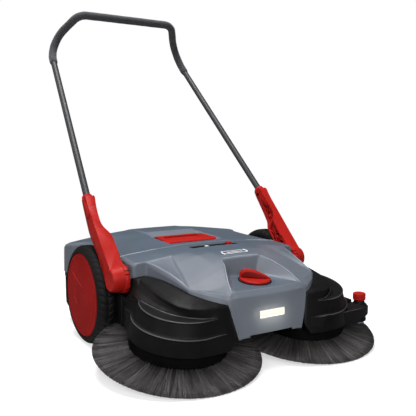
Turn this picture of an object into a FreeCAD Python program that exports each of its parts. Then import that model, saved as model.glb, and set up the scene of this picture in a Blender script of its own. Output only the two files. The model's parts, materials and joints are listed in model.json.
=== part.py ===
# Walk-behind sweeper: two tilted disc brushes in front, a roller brush and a lift-out dust
# container behind, two large driving wheels and a tubular push handle that folds forward.
# Frame: +X to the operator's left, +Y to the rear, +Z up. The origin is on the floor, midway
# between the wheels and under their axle. Millimetres. "right" and "left" are the operator's.
# Parts that come in pairs are modelled on the left and mirrored.
import FreeCAD, Part
import math, os
from FreeCAD import Vector

os.makedirs("parts", exist_ok=True)

# ---------------------------------------------------------------- driving dimensions
# An axis parallel to X is given as (y, z), an upright one as (x, y).
LEFT, RIGHT = 1, -1
WHEEL_R = 131.0                  # tyre radius, and height of the wheel axle
AXLE = (0, WHEEL_R)
AXLE_R = 10.0
TYRE_IN_X, TYRE_OUT_X = 272.0, 318.0
RIM_R = 112.0
RIM_IN_R = 104                   # inside of the rim band
CAP_R = 110.5
HANDLE_PIVOT = (-152.0, 197.0)
PIVOT_BOLT_R = 8.0
ARM_IN_X, ARM_OUT_X = 263.0, 300.0
DISC_X, DISC_Y, DISC_Z = 186.0, -288.0, 37.0     # centre of the disc brushes' tip plane
DISC_TILT = math.degrees(math.atan(0.187))       # forward tilt of the disc brushes
BRISTLE_R = 172.0                # stiff part of the bristle ring
ROLLER = (-40.0, 51.0)
ROLLER_R = 47.0
END_R = 43.0                     # roller bristles beside the drive pulleys
ROLLER_CORE_R = 22
DECK_Z, DECK_T = 118.0, 4        # underside and thickness of the deck
SEAM_Y = -100.0                  # seam between the hood and the container cover
SIDE_X, SIDE_T = 239.0, 7.5      # side plates, inner face and thickness
SHELL_T = 2.6                    # wall of the hood, guards and cover

# drive: ring gear in the wheel, pinion and shaft, round belt to the disc, flat belt to the roller
GEAR_MODULE, RING_TEETH, PINION_TEETH = 3.5, 54, 12
PINION_DIR = 195.0               # from wheel axle to pinion, degrees from +Y towards +Z
GEAR_DISTANCE = GEAR_MODULE * (RING_TEETH - PINION_TEETH) / 2
SHAFT = (GEAR_DISTANCE * math.cos(math.radians(PINION_DIR)),
         WHEEL_R + GEAR_DISTANCE * math.sin(math.radians(PINION_DIR)))
SHAFT_R = 6.0                    # drive shaft and roller spindle
SHAFT_BORE_R = SHAFT_R + 0.02
SHAFT_RUN_R = SHAFT_R + 0.06     # running fit on the shaft
SHAFT_BUSH_SEAT_R = 10.0
DISC_SHAFT_R = 8.0
DISC_BORE_R = DISC_SHAFT_R + 0.02
DISC_BUSH_SEAT_R = 12.0
SHAFT_PULLEY_R, DISC_PULLEY_R, ROUND_BELT_R = 20.0, 45.0, 3.0
SHAFT_PULLEY_X = 196.0
DISC_PULLEY_Z = 112.5            # middle of the disc's pulley, along the disc axis
FLAT_PULLEY_X = 220.0
FLAT_SHAFT_R, FLAT_ROLLER_R = 14.0, 20.0         # flat belt pulleys: on the shaft, on the roller

# support lever, its rollers and the dial that sets it
LEVER_PIVOT = (-240.0, DECK_Z + 14)
LEVER_PIN_R = 4.0
SUPPORT = (-136.0, 27.0)
SUPPORT_R, SUPPORT_AXLE_R = 27.0, 5.0
LEVER_DEG, DIAL_DEG = 3.0, 60.0  # travel each way
CAM_PIN_Z = LEVER_PIVOT[1] + 2
DIAL_R = 38.0
DIAL_X, DIAL_Y = 0.0, -342.0
RECESS_SLOPE = 0.1               # of the floor of the dial's recess
RECESS_Y, RECESS_Z = -293, 203.0     # rear edge of that floor
DIAL_TILT = math.degrees(math.atan(RECESS_SLOPE))
DIAL_BASE = Vector(DIAL_X, DIAL_Y, RECESS_Z + RECESS_SLOPE * (DIAL_Y - RECESS_Y))

DECK_SCREWS = [(110, -130), (-110, -130), (75, -384), (-75, -384)]
DECK_SCREW_R = 3.0
CABLE_X, CABLE_Z = 24, 131       # where the lamp cable passes the front bar
SLIDER_X = 49.0
GUIDE = (357.0, -345.0)          # axis of the guide roller and hold-down screw
GUIDE_SLEEVE_R, PRESS_SCREW_R = 10.0, 5.0
HINGE = (-27.0, 259.5)           # carrying handle hinge
HINGE_R = 2.5

TUBE_R, GRIP_R = 9.5, 13.5
TUBE_WALL = 1.5
ARM_TOP = Vector(286, 30, 390)   # where the tube leaves the arm
BEND = Vector(234, 488, 858)     # corners of the tube's centre line
CORNER = Vector(167, 385, 942)
BEND_RADII = [75, 45, 45, 75]
TUBE_IN_ARM = 49                 # length of tube inside the arm
GRIP_REACH = 100                 # grip below the bend

ORIGIN = Vector(0, 0, 0)
X_AXIS, Z_AXIS = Vector(1, 0, 0), Vector(0, 0, 1)


# ---------------------------------------------------------------- basic solids
def cylinder(radius, start, end):
    start, end = Vector(*start), Vector(*end)
    return Part.makeCylinder(radius, (end - start).Length, start, end - start)


def rod_x(radius, x0, x1, axis):
    return cylinder(radius, (x0, *axis), (x1, *axis))


def rod_y(radius, y0, y1, x, z):
    return cylinder(radius, (x, y0, z), (x, y1, z))


def rod_z(radius, z0, z1, axis=(0, 0)):
    return cylinder(radius, (*axis, z0), (*axis, z1))


def box(x0, x1, y0, y1, z0, z1):
    return Part.makeBox(x1 - x0, y1 - y0, z1 - z0, Vector(x0, y0, z0))


def face(points):
    return Part.Face(Part.makePolygon([Vector(*p) for p in points] + [Vector(*points[0])]))


def prism(points, direction):
    return face(points).extrude(Vector(*direction))


def prism_x(outline, x, width):
    """outline of (y, z)"""
    return prism([(x, y, z) for y, z in outline], (width, 0, 0))


def prism_z(outline, z, height):
    """outline of (x, y)"""
    return prism([(x, y, z) for x, y in outline], (0, 0, height))


def symmetric(half):
    """closed (x, y) outline from its left half"""
    return [(-x, y) for x, y in half] + half[::-1]


def turned_x(profile, axis):
    """profile of (x, r) turned about an X-parallel axis"""
    y, z = axis
    return face([(x, y, z + r) for x, r in profile]).revolve(Vector(0, y, z), X_AXIS, 360)


def turned_z(profile, axis=(0.0, 0.0)):
    """profile of (r, z) turned about an upright axis"""
    cx, cy = axis
    return face([(cx + r, cy, z) for r, z in profile]).revolve(Vector(cx, cy, 0), Z_AXIS, 360)


def ring_x(inner_r, outer_r, x0, x1, axis):
    return turned_x([(x0, inner_r), (x0, outer_r), (x1, outer_r), (x1, inner_r)], axis)


def ring_z(inner_r, outer_r, z0, z1):
    return turned_z([(inner_r, z0), (outer_r, z0), (outer_r, z1), (inner_r, z1)])


def mirrored(shape):
    return shape.mirror(ORIGIN, X_AXIS)


def both_sides(*shapes):
    return [copy for shape in shapes for copy in (shape, mirrored(shape))]


def joined(first, *rest):
    return first.fuse(list(rest)).removeSplitter()


def largest_solid(shape):
    return max(shape.Solids, key=lambda solid: solid.Volume)


def unit(vector):
    result = Vector(vector)
    result.normalize()
    return result


def lerp(a, b, t):
    return a + (b - a) * t


def between(a, b, t):
    return tuple(lerp(a[m], b[m], t) for m in range(3))


def along(points, share):
    """point at a share of a polyline's length"""
    lengths = [math.dist(points[i], points[i + 1]) for i in range(len(points) - 1)]
    rest = share * sum(lengths)
    for i, length in enumerate(lengths):
        if rest <= length or i == len(lengths) - 1:
            return between(points[i], points[i + 1], min(1.0, rest / length))
        rest -= length


def pipe(wire, radius):
    """round section swept along a wire"""
    first = wire.Edges[0]
    start = first.FirstParameter
    circle = Part.makeCircle(radius, first.valueAt(start), first.tangentAt(start))
    return wire.makePipeShell([Part.Wire(circle)], True, False)


def on_disc(shape, side):
    """from the disc's own frame (axis +Z through the origin) to its place"""
    placed = shape.copy()
    placed.rotate(ORIGIN, X_AXIS, DISC_TILT)
    placed.translate(Vector(side * DISC_X, DISC_Y, DISC_Z))
    return placed


def disc_point(x, y, z, side):
    a = math.radians(DISC_TILT)
    return (side * DISC_X + x, DISC_Y + y * math.cos(a) - z * math.sin(a),
            DISC_Z + y * math.sin(a) + z * math.cos(a))


def on_dial(shape):
    """from the dial's own frame to its place, square to the recess floor"""
    placed = shape.copy()
    placed.rotate(ORIGIN, X_AXIS, DIAL_TILT)
    placed.translate(DIAL_BASE)
    return placed


# ---------------------------------------------------------------- faceted shells
def triangle_solid(points, triangles):
    faces = []
    for triangle in triangles:
        a, b, c = [Vector(*points[i]) for i in triangle]
        if (b - a).cross(c - a).Length < 1e-4:
            continue
        faces.append(Part.Face(Part.makePolygon([a, b, c, a])))
    shell = Part.Shell(faces)
    shell.sewShape()
    solid = Part.Solid(shell)
    if solid.Volume < 0:
        solid.reverse()
    return solid


def grid_normal(grid, i, j):
    """mean normal of the grid cells that meet at a point"""
    total = Vector(0, 0, 0)
    for di, dj, ei, ej in ((1, 0, 0, 1), (0, 1, -1, 0), (-1, 0, 0, -1), (0, -1, 1, 0)):
        a, b, c, d = i + di, j + dj, i + ei, j + ej
        if 0 <= a < len(grid) and 0 <= c < len(grid) and \
                0 <= b < len(grid[0]) and 0 <= d < len(grid[0]):
            cross = (grid[a][b] - grid[i][j]).cross(grid[c][d] - grid[i][j])
            if cross.Length > 1e-9:
                total = total + unit(cross)
    return unit(total) if total.Length > 1e-9 else total


def grid_shell(rows, thickness, out=0.0):
    """a thin wall from a grid of points inwards, that is against the grid's normal;
    out moves the outer face outwards"""
    grid = [[Vector(*p) for p in row] for row in rows]
    n_rows, n_cols = len(grid), len(grid[0])
    cells = [(i, j) for i in range(n_rows) for j in range(n_cols)]
    points = [tuple(grid[i][j] + grid_normal(grid, i, j) * out) for i, j in cells]
    points += [tuple(grid[i][j] - grid_normal(grid, i, j) * thickness) for i, j in cells]
    inner = n_rows * n_cols          # index of the first inner point

    def index(i, j):
        return i * n_cols + j

    triangles = []
    for i in range(n_rows - 1):
        for j in range(n_cols - 1):
            a, b, c, d = index(i, j), index(i, j + 1), index(i + 1, j + 1), index(i + 1, j)
            triangles += [(a, b, c), (a, c, d), (inner + a, inner + c, inner + b),
                          (inner + a, inner + d, inner + c)]
    edge = [index(0, j) for j in range(n_cols)]
    edge += [index(i, n_cols - 1) for i in range(1, n_rows)]
    edge += [index(n_rows - 1, j) for j in range(n_cols - 2, -1, -1)]
    edge += [index(i, 0) for i in range(n_rows - 2, 0, -1)]
    for k, a in enumerate(edge):
        b = edge[(k + 1) % len(edge)]
        triangles += [(a, inner + a, inner + b), (a, inner + b, b)]
    return triangle_solid(points, triangles)


def whole_rows(half_rows):
    """rows from right to left, from rows that run from the middle to the left edge"""
    return [[(-x, y, z) for x, y, z in reversed(row[1:])] + list(row) for row in half_rows]


# ---------------------------------------------------------------- gears and pulleys
def involute(base_r, r):
    a = math.sqrt(max(0.0, (r / base_r) ** 2 - 1))
    return a - math.atan(a)


def gear_outline(teeth, axis, x, addendum=1.0, dedendum=1.25, thin=0.0):
    """external involute gear in a plane of constant x, with a tooth towards PINION_DIR;
    addendum and dedendum in modules, thin is taken off the tooth thickness"""
    flank_points = 4
    pitch_r = GEAR_MODULE * teeth / 2
    base_r = pitch_r * math.cos(math.radians(20))
    tip_r = pitch_r + addendum * GEAR_MODULE
    root_r = pitch_r - dedendum * GEAR_MODULE
    half = math.pi / (2 * teeth) - thin / (2 * pitch_r)
    start_r = max(base_r, root_r)
    flank = []
    for i in range(flank_points):
        r = start_r + (tip_r - start_r) * i / (flank_points - 1)
        flank.append((r, half + involute(base_r, pitch_r) - involute(base_r, r)))
    if base_r > root_r:
        flank = [(root_r, flank[0][1])] + flank
    polar = []
    for k in range(teeth):
        centre = math.radians(PINION_DIR) + 2 * math.pi * k / teeth
        polar += [(r, centre - a) for r, a in flank]
        polar += [(r, centre + a) for r, a in reversed(flank)]
    return [(x, axis[0] + r * math.cos(a), axis[1] + r * math.sin(a)) for r, a in polar]


def pulley_profile(middle, bore, rim_r, floor_r, half_width, half_top, half_floor):
    """(distance along the axis, r) of a grooved pulley"""
    half = [(half_width, bore), (half_width, rim_r), (half_top, rim_r), (half_floor, floor_r)]
    return [(middle - w, r) for w, r in half] + [(middle + w, r) for w, r in reversed(half)]


def round_belt_pulley(middle, bore, radius):
    return pulley_profile(middle, bore, radius + 2, radius - 3.5, 6, 4.2, 3.4)


def flat_belt_pulley(radius, half_width):
    return pulley_profile(FLAT_PULLEY_X, SHAFT_BORE_R, radius + 3, radius, half_width, 4.5, 4.5)


# ---------------------------------------------------------------- wheels
def tyre():
    return turned_x([(TYRE_IN_X, RIM_R), (TYRE_OUT_X, RIM_R), (TYRE_OUT_X, WHEEL_R - 7),
                     (TYRE_OUT_X - 5, WHEEL_R - 1.5), (TYRE_OUT_X - 10, WHEEL_R),
                     (TYRE_IN_X + 10, WHEEL_R), (TYRE_IN_X + 5, WHEEL_R - 1.5),
                     (TYRE_IN_X, WHEEL_R - 7)], AXLE)


def wheel_rim():
    """band, web and hub, with the internal ring gear"""
    web_in_x, web_out_x, hub_r, bore = 300, 304, 21, AXLE_R + 4
    rim = turned_x([(TYRE_IN_X + 1, RIM_IN_R), (TYRE_IN_X + 1, RIM_R), (TYRE_OUT_X - 3, RIM_R),
                    (TYRE_OUT_X - 3, RIM_IN_R), (web_out_x, RIM_IN_R), (web_out_x, hub_r),
                    (313.5, hub_r), (313.5, bore), (276, bore), (276, hub_r),
                    (web_in_x, hub_r), (web_in_x, RIM_IN_R)], AXLE)
    blank = ring_x(90.5, 105, 276, 290, AXLE)
    cutter = prism(gear_outline(RING_TEETH, AXLE, 270, addendum=1.2, dedendum=0.5, thin=-0.15),
                   (30, 0, 0))
    return joined(rim, blank.cut(cutter))


def wheel_cap():
    """dished disc with a short ring on its inner side"""
    disc = turned_x([(315.3, 0), (315.3, CAP_R), (318.5, CAP_R), (321, 106), (321, 98),
                     (319.5, 95), (319.2, 0)], AXLE)
    ring = turned_x([(304.3, 60), (315.4, 60), (315.4, 64), (304.3, 64)], AXLE)
    return joined(disc, ring)


def wheel_bush():
    return ring_x(AXLE_R + 0.05, AXLE_R + 3.95, 276.5, 313, AXLE)


def stub_axles():
    axle = joined(rod_x(AXLE_R, SIDE_X - 5, 312.5, AXLE),
                  ring_x(0, 14, SIDE_X - 5.5, SIDE_X - 0.2, AXLE))
    washer = ring_x(AXLE_R + 0.1, 18, 258.5, 275.5, AXLE)
    return both_sides(axle, washer)


# ---------------------------------------------------------------- drive
def drive_pinion():
    pinion = prism(gear_outline(PINION_TEETH, SHAFT, 277, addendum=0.9, thin=0.35), (12, 0, 0))
    return pinion.cut(rod_x(SHAFT_BORE_R, 270, 295, SHAFT))


def drive_shaft():
    """shaft and the pulley of the disc's round belt"""
    pulley = turned_x(round_belt_pulley(SHAFT_PULLEY_X, SHAFT_BORE_R, SHAFT_PULLEY_R), SHAFT)
    return [rod_x(SHAFT_R, 188, 290, SHAFT), pulley]


def drive_bushes():
    disc_bush = ring_z(DISC_SHAFT_R + 0.06, DISC_BUSH_SEAT_R - 0.05, 76, 104)
    shaft_bush = ring_x(SHAFT_RUN_R, SHAFT_BUSH_SEAT_R - 0.05, SIDE_X - 3, SIDE_X + 14, SHAFT)
    return [on_disc(disc_bush, LEFT), on_disc(disc_bush, RIGHT), *both_sides(shaft_bush)]


def round_belt(side):
    """closed belt with a quarter turn between the shaft's pulley and the disc's; it leaves
    each pulley in that pulley's plane"""
    disc_r, shaft_r = DISC_PULLEY_R + 0.15, SHAFT_PULLEY_R + 0.15
    x = side * SHAFT_PULLEY_X
    shaft_y, shaft_z = SHAFT

    def disc_tangent(sign, distance):
        return disc_point(sign * side * disc_r, distance, DISC_PULLEY_Z, side)

    points = []
    for degrees in range(180, -1, -30):      # front half of the disc's pulley, inner to outer
        a = math.radians(degrees)
        points.append(disc_point(side * disc_r * math.cos(a), -disc_r * math.sin(a),
                                 DISC_PULLEY_Z, side))
    points += [disc_tangent(1, 12), disc_tangent(1, 24)]
    top = (x, shaft_y - 18, shaft_z + shaft_r)
    bottom = (x, shaft_y - 18, shaft_z - shaft_r)
    points += [between(disc_tangent(1, 24), top, t) for t in (0.3, 0.6)]
    points += [top, (x, shaft_y - 9, shaft_z + shaft_r)]
    for degrees in range(90, -91, -30):      # rear half of the shaft's pulley, downwards
        a = math.radians(degrees)
        points.append((x, shaft_y + shaft_r * math.cos(a), shaft_z + shaft_r * math.sin(a)))
    points += [(x, shaft_y - 9, shaft_z - shaft_r), bottom]
    points += [between(bottom, disc_tangent(-1, 24), t) for t in (0.4, 0.7)]
    points += [disc_tangent(-1, 24), disc_tangent(-1, 12)]
    loop = Part.BSplineCurve()
    loop.interpolate(Points=[Vector(*p) for p in points], PeriodicFlag=True)
    u0, u1 = loop.FirstParameter, loop.LastParameter
    lengths = []
    for a, b in ((0.0, 0.35), (0.35, 0.7), (0.7, 1.0)):      # swept in three lengths
        part = loop.copy()
        part.segment(u0 + (u1 - u0) * a, u0 + (u1 - u0) * b)
        lengths.append(pipe(Part.Wire(part.toShape()), ROUND_BELT_R))
    return lengths


# ---------------------------------------------------------------- disc brushes, own frame
def disc_plate():
    """a shallow inverted dish with a rim that holds the bristles, and a hub"""
    return turned_z([(DISC_BORE_R, 58), (DISC_BORE_R, 18), (20, 18), (20, 46), (96, 46),
                     (102, 41), (104, 14), (108, 12), (108, 44), (103, 53), (97, 56), (24, 56),
                     (22, 60), (DISC_BORE_R, 60)])


def disc_bristles():
    return turned_z([(88, 8), (BRISTLE_R, 0.6), (BRISTLE_R, 5.5), (108.5, 11.6),
                     (103.5, 13.6), (101.2, 38), (88, 40)])


def disc_shaft():
    return turned_z([(0, 14), (14, 14), (14, 17.8), (DISC_SHAFT_R, 17.8), (DISC_SHAFT_R, 119),
                     (0, 119)])


def disc_pulley():
    profile = round_belt_pulley(DISC_PULLEY_Z, DISC_BORE_R, DISC_PULLEY_R)
    return turned_z([(r, z) for z, r in profile])


# ---------------------------------------------------------------- base frame
SIDE_PLATE = [      # (y, z)
    (-235, 112), (-150, 112), (-90, 90), (-80, 62), (128, 62), (128, 92), (60, 172),
    (-95, 200), (-140, 226), (-176, 222), (-182, 162), (-198, 156), (-235, 150)]


def base_frame():
    """deck, side plates, cross members and bearing bosses"""
    half_width = SIDE_X + 1
    bar_y = SEAM_Y - 12
    deck = prism_z(symmetric([(100, -396), (172, -390), (half_width, -345),
                              (half_width, bar_y)]), DECK_Z, DECK_T)
    sides = [prism_x(SIDE_PLATE, x, SIDE_T) for x in (SIDE_X, -SIDE_X - SIDE_T)]
    rear_bar = box(-SIDE_X, SIDE_X, bar_y - 4, bar_y, DECK_Z, 158)
    front_bar = box(-90, 90, -398, -394, 84, 178)
    frame = joined(deck, *sides, rear_bar, front_bar)
    for side in (LEFT, RIGHT):
        bore_from, bore_to = side * 230, side * 270
        x0, x1 = sorted((side * 133, side * 237))
        frame = frame.cut(box(x0, x1, -250, -100, DECK_Z - 1, 162))      # belt opening
        frame = frame.fuse(on_disc(ring_z(0, 18, 78, 103.5), side))
        frame = frame.cut(on_disc(rod_z(DISC_BUSH_SEAT_R, 70, 110), side))
        frame = frame.fuse(ring_x(0, 22, side * SIDE_X, side * 257, AXLE))
        frame = frame.cut(rod_x(AXLE_R + 0.02, bore_from, bore_to, AXLE))
        frame = frame.fuse(ring_x(0, 15, side * (SIDE_X - 2), side * (SIDE_X + 13), SHAFT))
        frame = frame.cut(rod_x(SHAFT_BUSH_SEAT_R, bore_from, bore_to, SHAFT))
        frame = frame.cut(rod_x(PIVOT_BOLT_R + 0.02, bore_from, bore_to, HANDLE_PIVOT))
    # slot for the support lever, and the lever's pivot ears
    frame = frame.cut(box(-47, 47, -262, SEAM_Y - 17, DECK_Z - 1, DECK_Z + 5))
    for x in (50, -56):
        frame = frame.fuse(box(x, x + 6, -256, -224, DECK_Z + 3.5, DECK_Z + 26))
    frame = frame.cut(rod_x(LEVER_PIN_R + 0.02, -60, 60, LEVER_PIVOT))
    for place in DECK_SCREWS:
        frame = frame.cut(rod_z(DECK_SCREW_R + 0.1, 100, 140, place))
    frame = frame.cut(rod_y(3.0, -400, -390, CABLE_X, CABLE_Z))
    return frame.removeSplitter()


def deck_screws():
    return [joined(rod_z(DECK_SCREW_R, DECK_Z - 0.1, DECK_Z + 14, place),
                   rod_z(5.5, DECK_Z - 2.6, DECK_Z - 0.1, place)) for place in DECK_SCREWS]


# ---------------------------------------------------------------- support lever and rollers
LEVER_ARM = [       # (y, z)
    (-252, 118), (-170, 112), (-158, 98), (-150, 31), (-142, 17), (-130, 17), (-124, 31),
    (-122, 108), (-134, 124), (-228, 131), (-228, 141), (-252, 141)]


def support_lever():
    """two arms, a bridge, and a tongue whose pin runs in the dial's cam"""
    z = LEVER_PIVOT[1]
    arms = [prism_x(LEVER_ARM, x, 6) for x in (38, -44)]
    bridge = box(-44, 44, -262, -250, z - 4, z + 5).fuse(box(-44, 44, -252, -246, z - 4, z + 9))
    tongue = box(-8, 8, -320, -258, z - 1, z + 5)
    cam_pin = rod_y(3.0, -324.5, -318, 0, CAM_PIN_Z)
    lever = joined(*arms, tongue, bridge, cam_pin)
    lever = lever.cut(rod_x(LEVER_PIN_R + 0.06, -60, 60, LEVER_PIVOT))
    return lever.cut(rod_x(SUPPORT_AXLE_R + 0.01, -60, 60, SUPPORT))


def support_rollers():
    bore = SUPPORT_AXLE_R + 0.06
    chamfer = 3
    return [turned_x([(x0, bore), (x0, SUPPORT_R - chamfer), (x0 + chamfer, SUPPORT_R),
                      (x1 - chamfer, SUPPORT_R), (x1, SUPPORT_R - chamfer), (x1, bore)], SUPPORT)
            for x0, x1 in ((-36, -2), (2, 36))]


# ---------------------------------------------------------------- height dial
DIAL_FIN = [        # (x, z), in the dial's own frame
    (-36, 4), (36, 4), (36, 8), (22, 18), (0, 27), (-20, 31.5), (-32, 30), (-36.5, 24)]


def height_dial():
    base = turned_z([(0, 1.2), (DIAL_R, 1.2), (DIAL_R, 4.2), (DIAL_R - 4, 8.5), (0, 9.5)])
    fin = prism([(x, -5, z) for x, z in DIAL_FIN], (0, 10, 0))
    fin.rotate(ORIGIN, Z_AXIS, -36)
    return on_dial(joined(base, fin).cut(rod_z(6.0, 0, 8)))


def dial_spindle():
    """spindle with a barrel cam; its helical groove is where the lever's pin goes as the
    dial turns"""
    spindle = on_dial(joined(rod_z(5.95, -73, 7.9), rod_z(10, -9, -4.2), rod_z(13, -73.8, -50)))
    tilt = math.radians(DIAL_TILT)
    dial_axis = Vector(0, -math.sin(tilt), math.cos(tilt))
    tip, rear = Vector(0, -326, CAM_PIN_Z), Vector(0, -305, CAM_PIN_Z)
    for k in range(-11, 12):
        dial_angle = k * 6.0
        cutter = Part.makeCylinder(3.7, 21, tip, rear - tip)
        cutter.rotate(Vector(0, *LEVER_PIVOT), X_AXIS, dial_angle * LEVER_DEG / DIAL_DEG)
        cutter.rotate(DIAL_BASE, dial_axis, -dial_angle)
        spindle = spindle.cut(cutter)
    return spindle


# ---------------------------------------------------------------- roller brush and cradle
CRADLE_CHEEK = [    # (y, z)
    (-110, 98), (-110, 113), (-84, 125), (-60, 125), (-56, 108), (-27, 58), (-27, 42),
    (-38, 36), (-53, 42), (-56, 58), (-82, 96)]


def roller_core():
    core = turned_x([(-222, SHAFT_BORE_R), (-222, ROLLER_CORE_R), (207, ROLLER_CORE_R),
                     (207, SHAFT_BORE_R)], ROLLER)
    pulley = turned_x(flat_belt_pulley(FLAT_ROLLER_R, 6.5), ROLLER)
    return [core, pulley, rod_x(SHAFT_R, -233.5, 233.5, ROLLER)]


def roller_bristles():
    """six strips along the core, lower beside the shaft's pulleys"""
    foot_r = ROLLER_CORE_R + 0.6
    foot_half, tip_half = 0.20, 0.16         # radians
    strips = []
    for k in range(6):
        middle = math.radians(60 * k + 15)
        strip = None
        for x0, x1, r in ((-218, -187, END_R), (-187, 187, ROLLER_R), (187, 204, END_R)):
            polar = [(foot_r, middle - foot_half), (r, middle - tip_half), (r + 0.5, middle),
                     (r, middle + tip_half), (foot_r, middle + foot_half)]
            outline = [(ROLLER[0] + d * math.cos(a), ROLLER[1] + d * math.sin(a))
                       for d, a in polar]
            piece = prism_x(outline, x0, x1 - x0)
            strip = piece if strip is None else strip.fuse(piece)
        strips.append(strip.removeSplitter())
    return strips


def flat_belt_outline(shaft_r, roller_r):
    """(y, z) outline stretched round circles on the shaft and on the roller"""
    steps = 20
    dy, dz = ROLLER[0] - SHAFT[0], ROLLER[1] - SHAFT[1]
    heading = math.atan2(dz, dy)
    spread = math.acos((shaft_r - roller_r) / math.hypot(dy, dz))
    polar = [(SHAFT, shaft_r, heading + spread + (2 * math.pi - 2 * spread) * k / steps)
             for k in range(steps + 1)]
    polar += [(ROLLER, roller_r, heading - spread + 2 * spread * k / steps)
              for k in range(steps + 1)]
    return [(c[0] + r * math.cos(a), c[1] + r * math.sin(a)) for c, r, a in polar]


def roller_belt():
    """flat belt from the left shaft to the roller"""
    outer = prism_x(flat_belt_outline(FLAT_SHAFT_R + 2.8, FLAT_ROLLER_R + 2.8),
                    FLAT_PULLEY_X - 4, 8)
    inner = prism_x(flat_belt_outline(FLAT_SHAFT_R + 0.6, FLAT_ROLLER_R + 0.6),
                    FLAT_PULLEY_X - 5, 10)
    return outer.cut(inner)


def roller_cradle():
    """two cheeks and a cross bar that swing about the drive shafts' axis"""
    cheeks = [prism_x(CRADLE_CHEEK, x, 5) for x in (228, -233)]
    cradle = joined(*cheeks, box(-233, 233, -109, -101, 99, 112))
    for side in (LEFT, RIGHT):
        for axis in (SHAFT, ROLLER):
            cradle = cradle.cut(rod_x(SHAFT_RUN_R, side * 220, side * 240, axis))
    return cradle


# ---------------------------------------------------------------- front hood
# (x, y, z): rows from the seam to the front, each from the middle to the left edge
HOOD_ROWS = whole_rows([
    [(0, -101, 259), (60, -101, 258), (103, -101, 256), (143, -101, 253.5),
     (193, -101, 249), (237, -101, 244.5), (251, -101, 239), (251.5, -101, 178)],
    [(0, -150, 260), (60, -150, 259), (103, -150, 257), (145, -150, 253.5),
     (193, -150, 248), (238, -150, 242), (251.5, -150, 236), (252, -150, 181)],
    [(0, -181, 260), (60, -182, 259), (103, -183, 256.5), (147, -184, 251),
     (191, -184, 245), (238, -182.5, 240), (251.5, -182.5, 235), (252, -182.5, 183)],
    [(0, -186, 259.8), (60, -188, 258.8), (103, -192, 256), (150, -193, 248.5),
     (185, -190, 243), (214, -187, 239), (216, -187, 230), (216, -187, 204)],
    [(0, -225, 258), (59, -230, 257), (98, -235, 252), (160, -232, 237),
     (182, -222, 235), (208, -220, 233), (210, -220, 222), (209, -220, 204.5)],
    [(0, -255, 254), (59, -262, 252.5), (94, -268, 246), (168, -268, 226),
     (185, -258, 225), (201, -252, 227), (204, -252, 215), (203, -252, 203)],
    [(0, -281, 247), (58, -282, 247), (92, -292, 240), (175, -298, 214),
     (185, -292, 214), (194, -290, 217), (196, -290, 207), (195, -290, 198)],
    [(0, -284, 246), (61, -285, 245.5), (91, -300, 236), (179, -315, 208),
     (184, -312, 208), (189, -315, 210), (192, -316, 201), (191, -318, 194)],
    [(0, -293, 203), (42, -293, 203), (46, -296, 207), (72, -315, 237),
     (110, -330, 223), (183, -337, 202), (187, -342, 197), (187, -343, 190)],
    [(0, -325, 199.8), (54, -325, 199.8), (60, -326, 204), (86, -343, 224.5),
     (120, -355, 209), (168, -350, 199), (174, -355, 193), (176, -356, 184)],
    [(0, -360, 196.3), (74, -360, 196.3), (80, -362, 200), (96, -368, 208.5),
     (126, -371, 200), (146, -366, 193.5), (154, -370, 187), (158, -373, 176)],
    [(0, -388, 193.5), (94, -388, 193.5), (96, -388, 194), (101, -385, 196.5),
     (106, -386, 194), (116, -385, 190), (126, -388, 182), (134, -389, 169)],
    [(0, -404, 189), (90, -396, 189), (97, -394, 188.5), (103.5, -395, 187.5),
     (106, -396, 186), (110, -397, 182), (114, -398, 175), (116, -398, 165)],
    [(0, -410, 175), (60, -408, 175), (90, -404, 175), (102, -402, 174),
     (106, -401, 172), (109, -401, 169), (112, -401, 165), (114, -400, 158)],
    [(0, -412, 140), (50, -411.5, 140), (80, -409, 140), (94, -407, 140),
     (100, -406, 140), (104, -406, 140), (107, -406, 140), (109.5, -405.5, 140)],
    [(0, -412.5, 84), (40, -412, 84), (60, -412, 84), (72, -411, 84),
     (80, -410.5, 83), (86, -410, 82), (90, -410, 82), (94, -410, 82)],
])


def front_hood():
    hood = grid_shell(HOOD_ROWS, SHELL_T)
    hood = hood.cut(box(-62, 62, -425, -395, 78, 88))        # notch in the lower front edge
    hood = hood.cut(box(-72, 72, -168, -138, 240, 280))      # height slider slot
    hood = hood.cut(box(-36, 36, -425, -402, 119, 143))      # lamp window
    hood = hood.cut(on_dial(rod_z(6.6, -12, 12)))
    for side in (LEFT, RIGHT):
        hood = hood.cut(rod_x(14.2, side * 225, side * 262, HANDLE_PIVOT))
    return hood


def slider_track():
    """guide rails for the height slider, beside the slot"""
    return joined(*[box(-84, 84, y0, y1, 240.5, 250)
                    for y0, y1 in ((-173, -168.6), (-137.4, -133))])


def height_slider():
    """shoe, stem and knob"""
    x = SLIDER_X
    return joined(box(x - 12, x + 12, -167.8, -138.2, 245.5, 248.5),
                  box(x - 2.5, x + 2.5, -160, -146, 248, 262),
                  box(x - 7, x + 7, -162, -144, 260.5, 266.5))


# ---------------------------------------------------------------- brush guards
GUARD_ANGLES = range(0, 121, 12)     # round the disc axis: 0 is the front, 90 the outer side

# upper edge lines of the guard, (x, y, z) from the front round to the rear
LEDGE_LINE = [
    (170, -402, 142.5), (188, -398, 142.5), (207, -385, 144.5), (225, -371, 147.5),
    (240, -352, 151), (253, -329, 155.5), (262, -298, 160), (268, -272, 163),
    (270, -254, 164.5), (270, -235, 164.5)]
SHOULDER_LINE = [
    (172, -390, 161.5), (203, -376.5, 164), (222, -357, 168), (232, -338, 172.5),
    (237, -300, 179), (237, -262, 186), (236, -238, 190), (234, -205, 196)]
HOOD_LINE = [
    (144, -381, 172.5), (164, -365, 180), (180, -351, 186.5), (188, -342, 190),
    (193, -318, 194.5), (199, -290, 199), (206, -252, 203.5), (212, -220, 205.5)]


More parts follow.
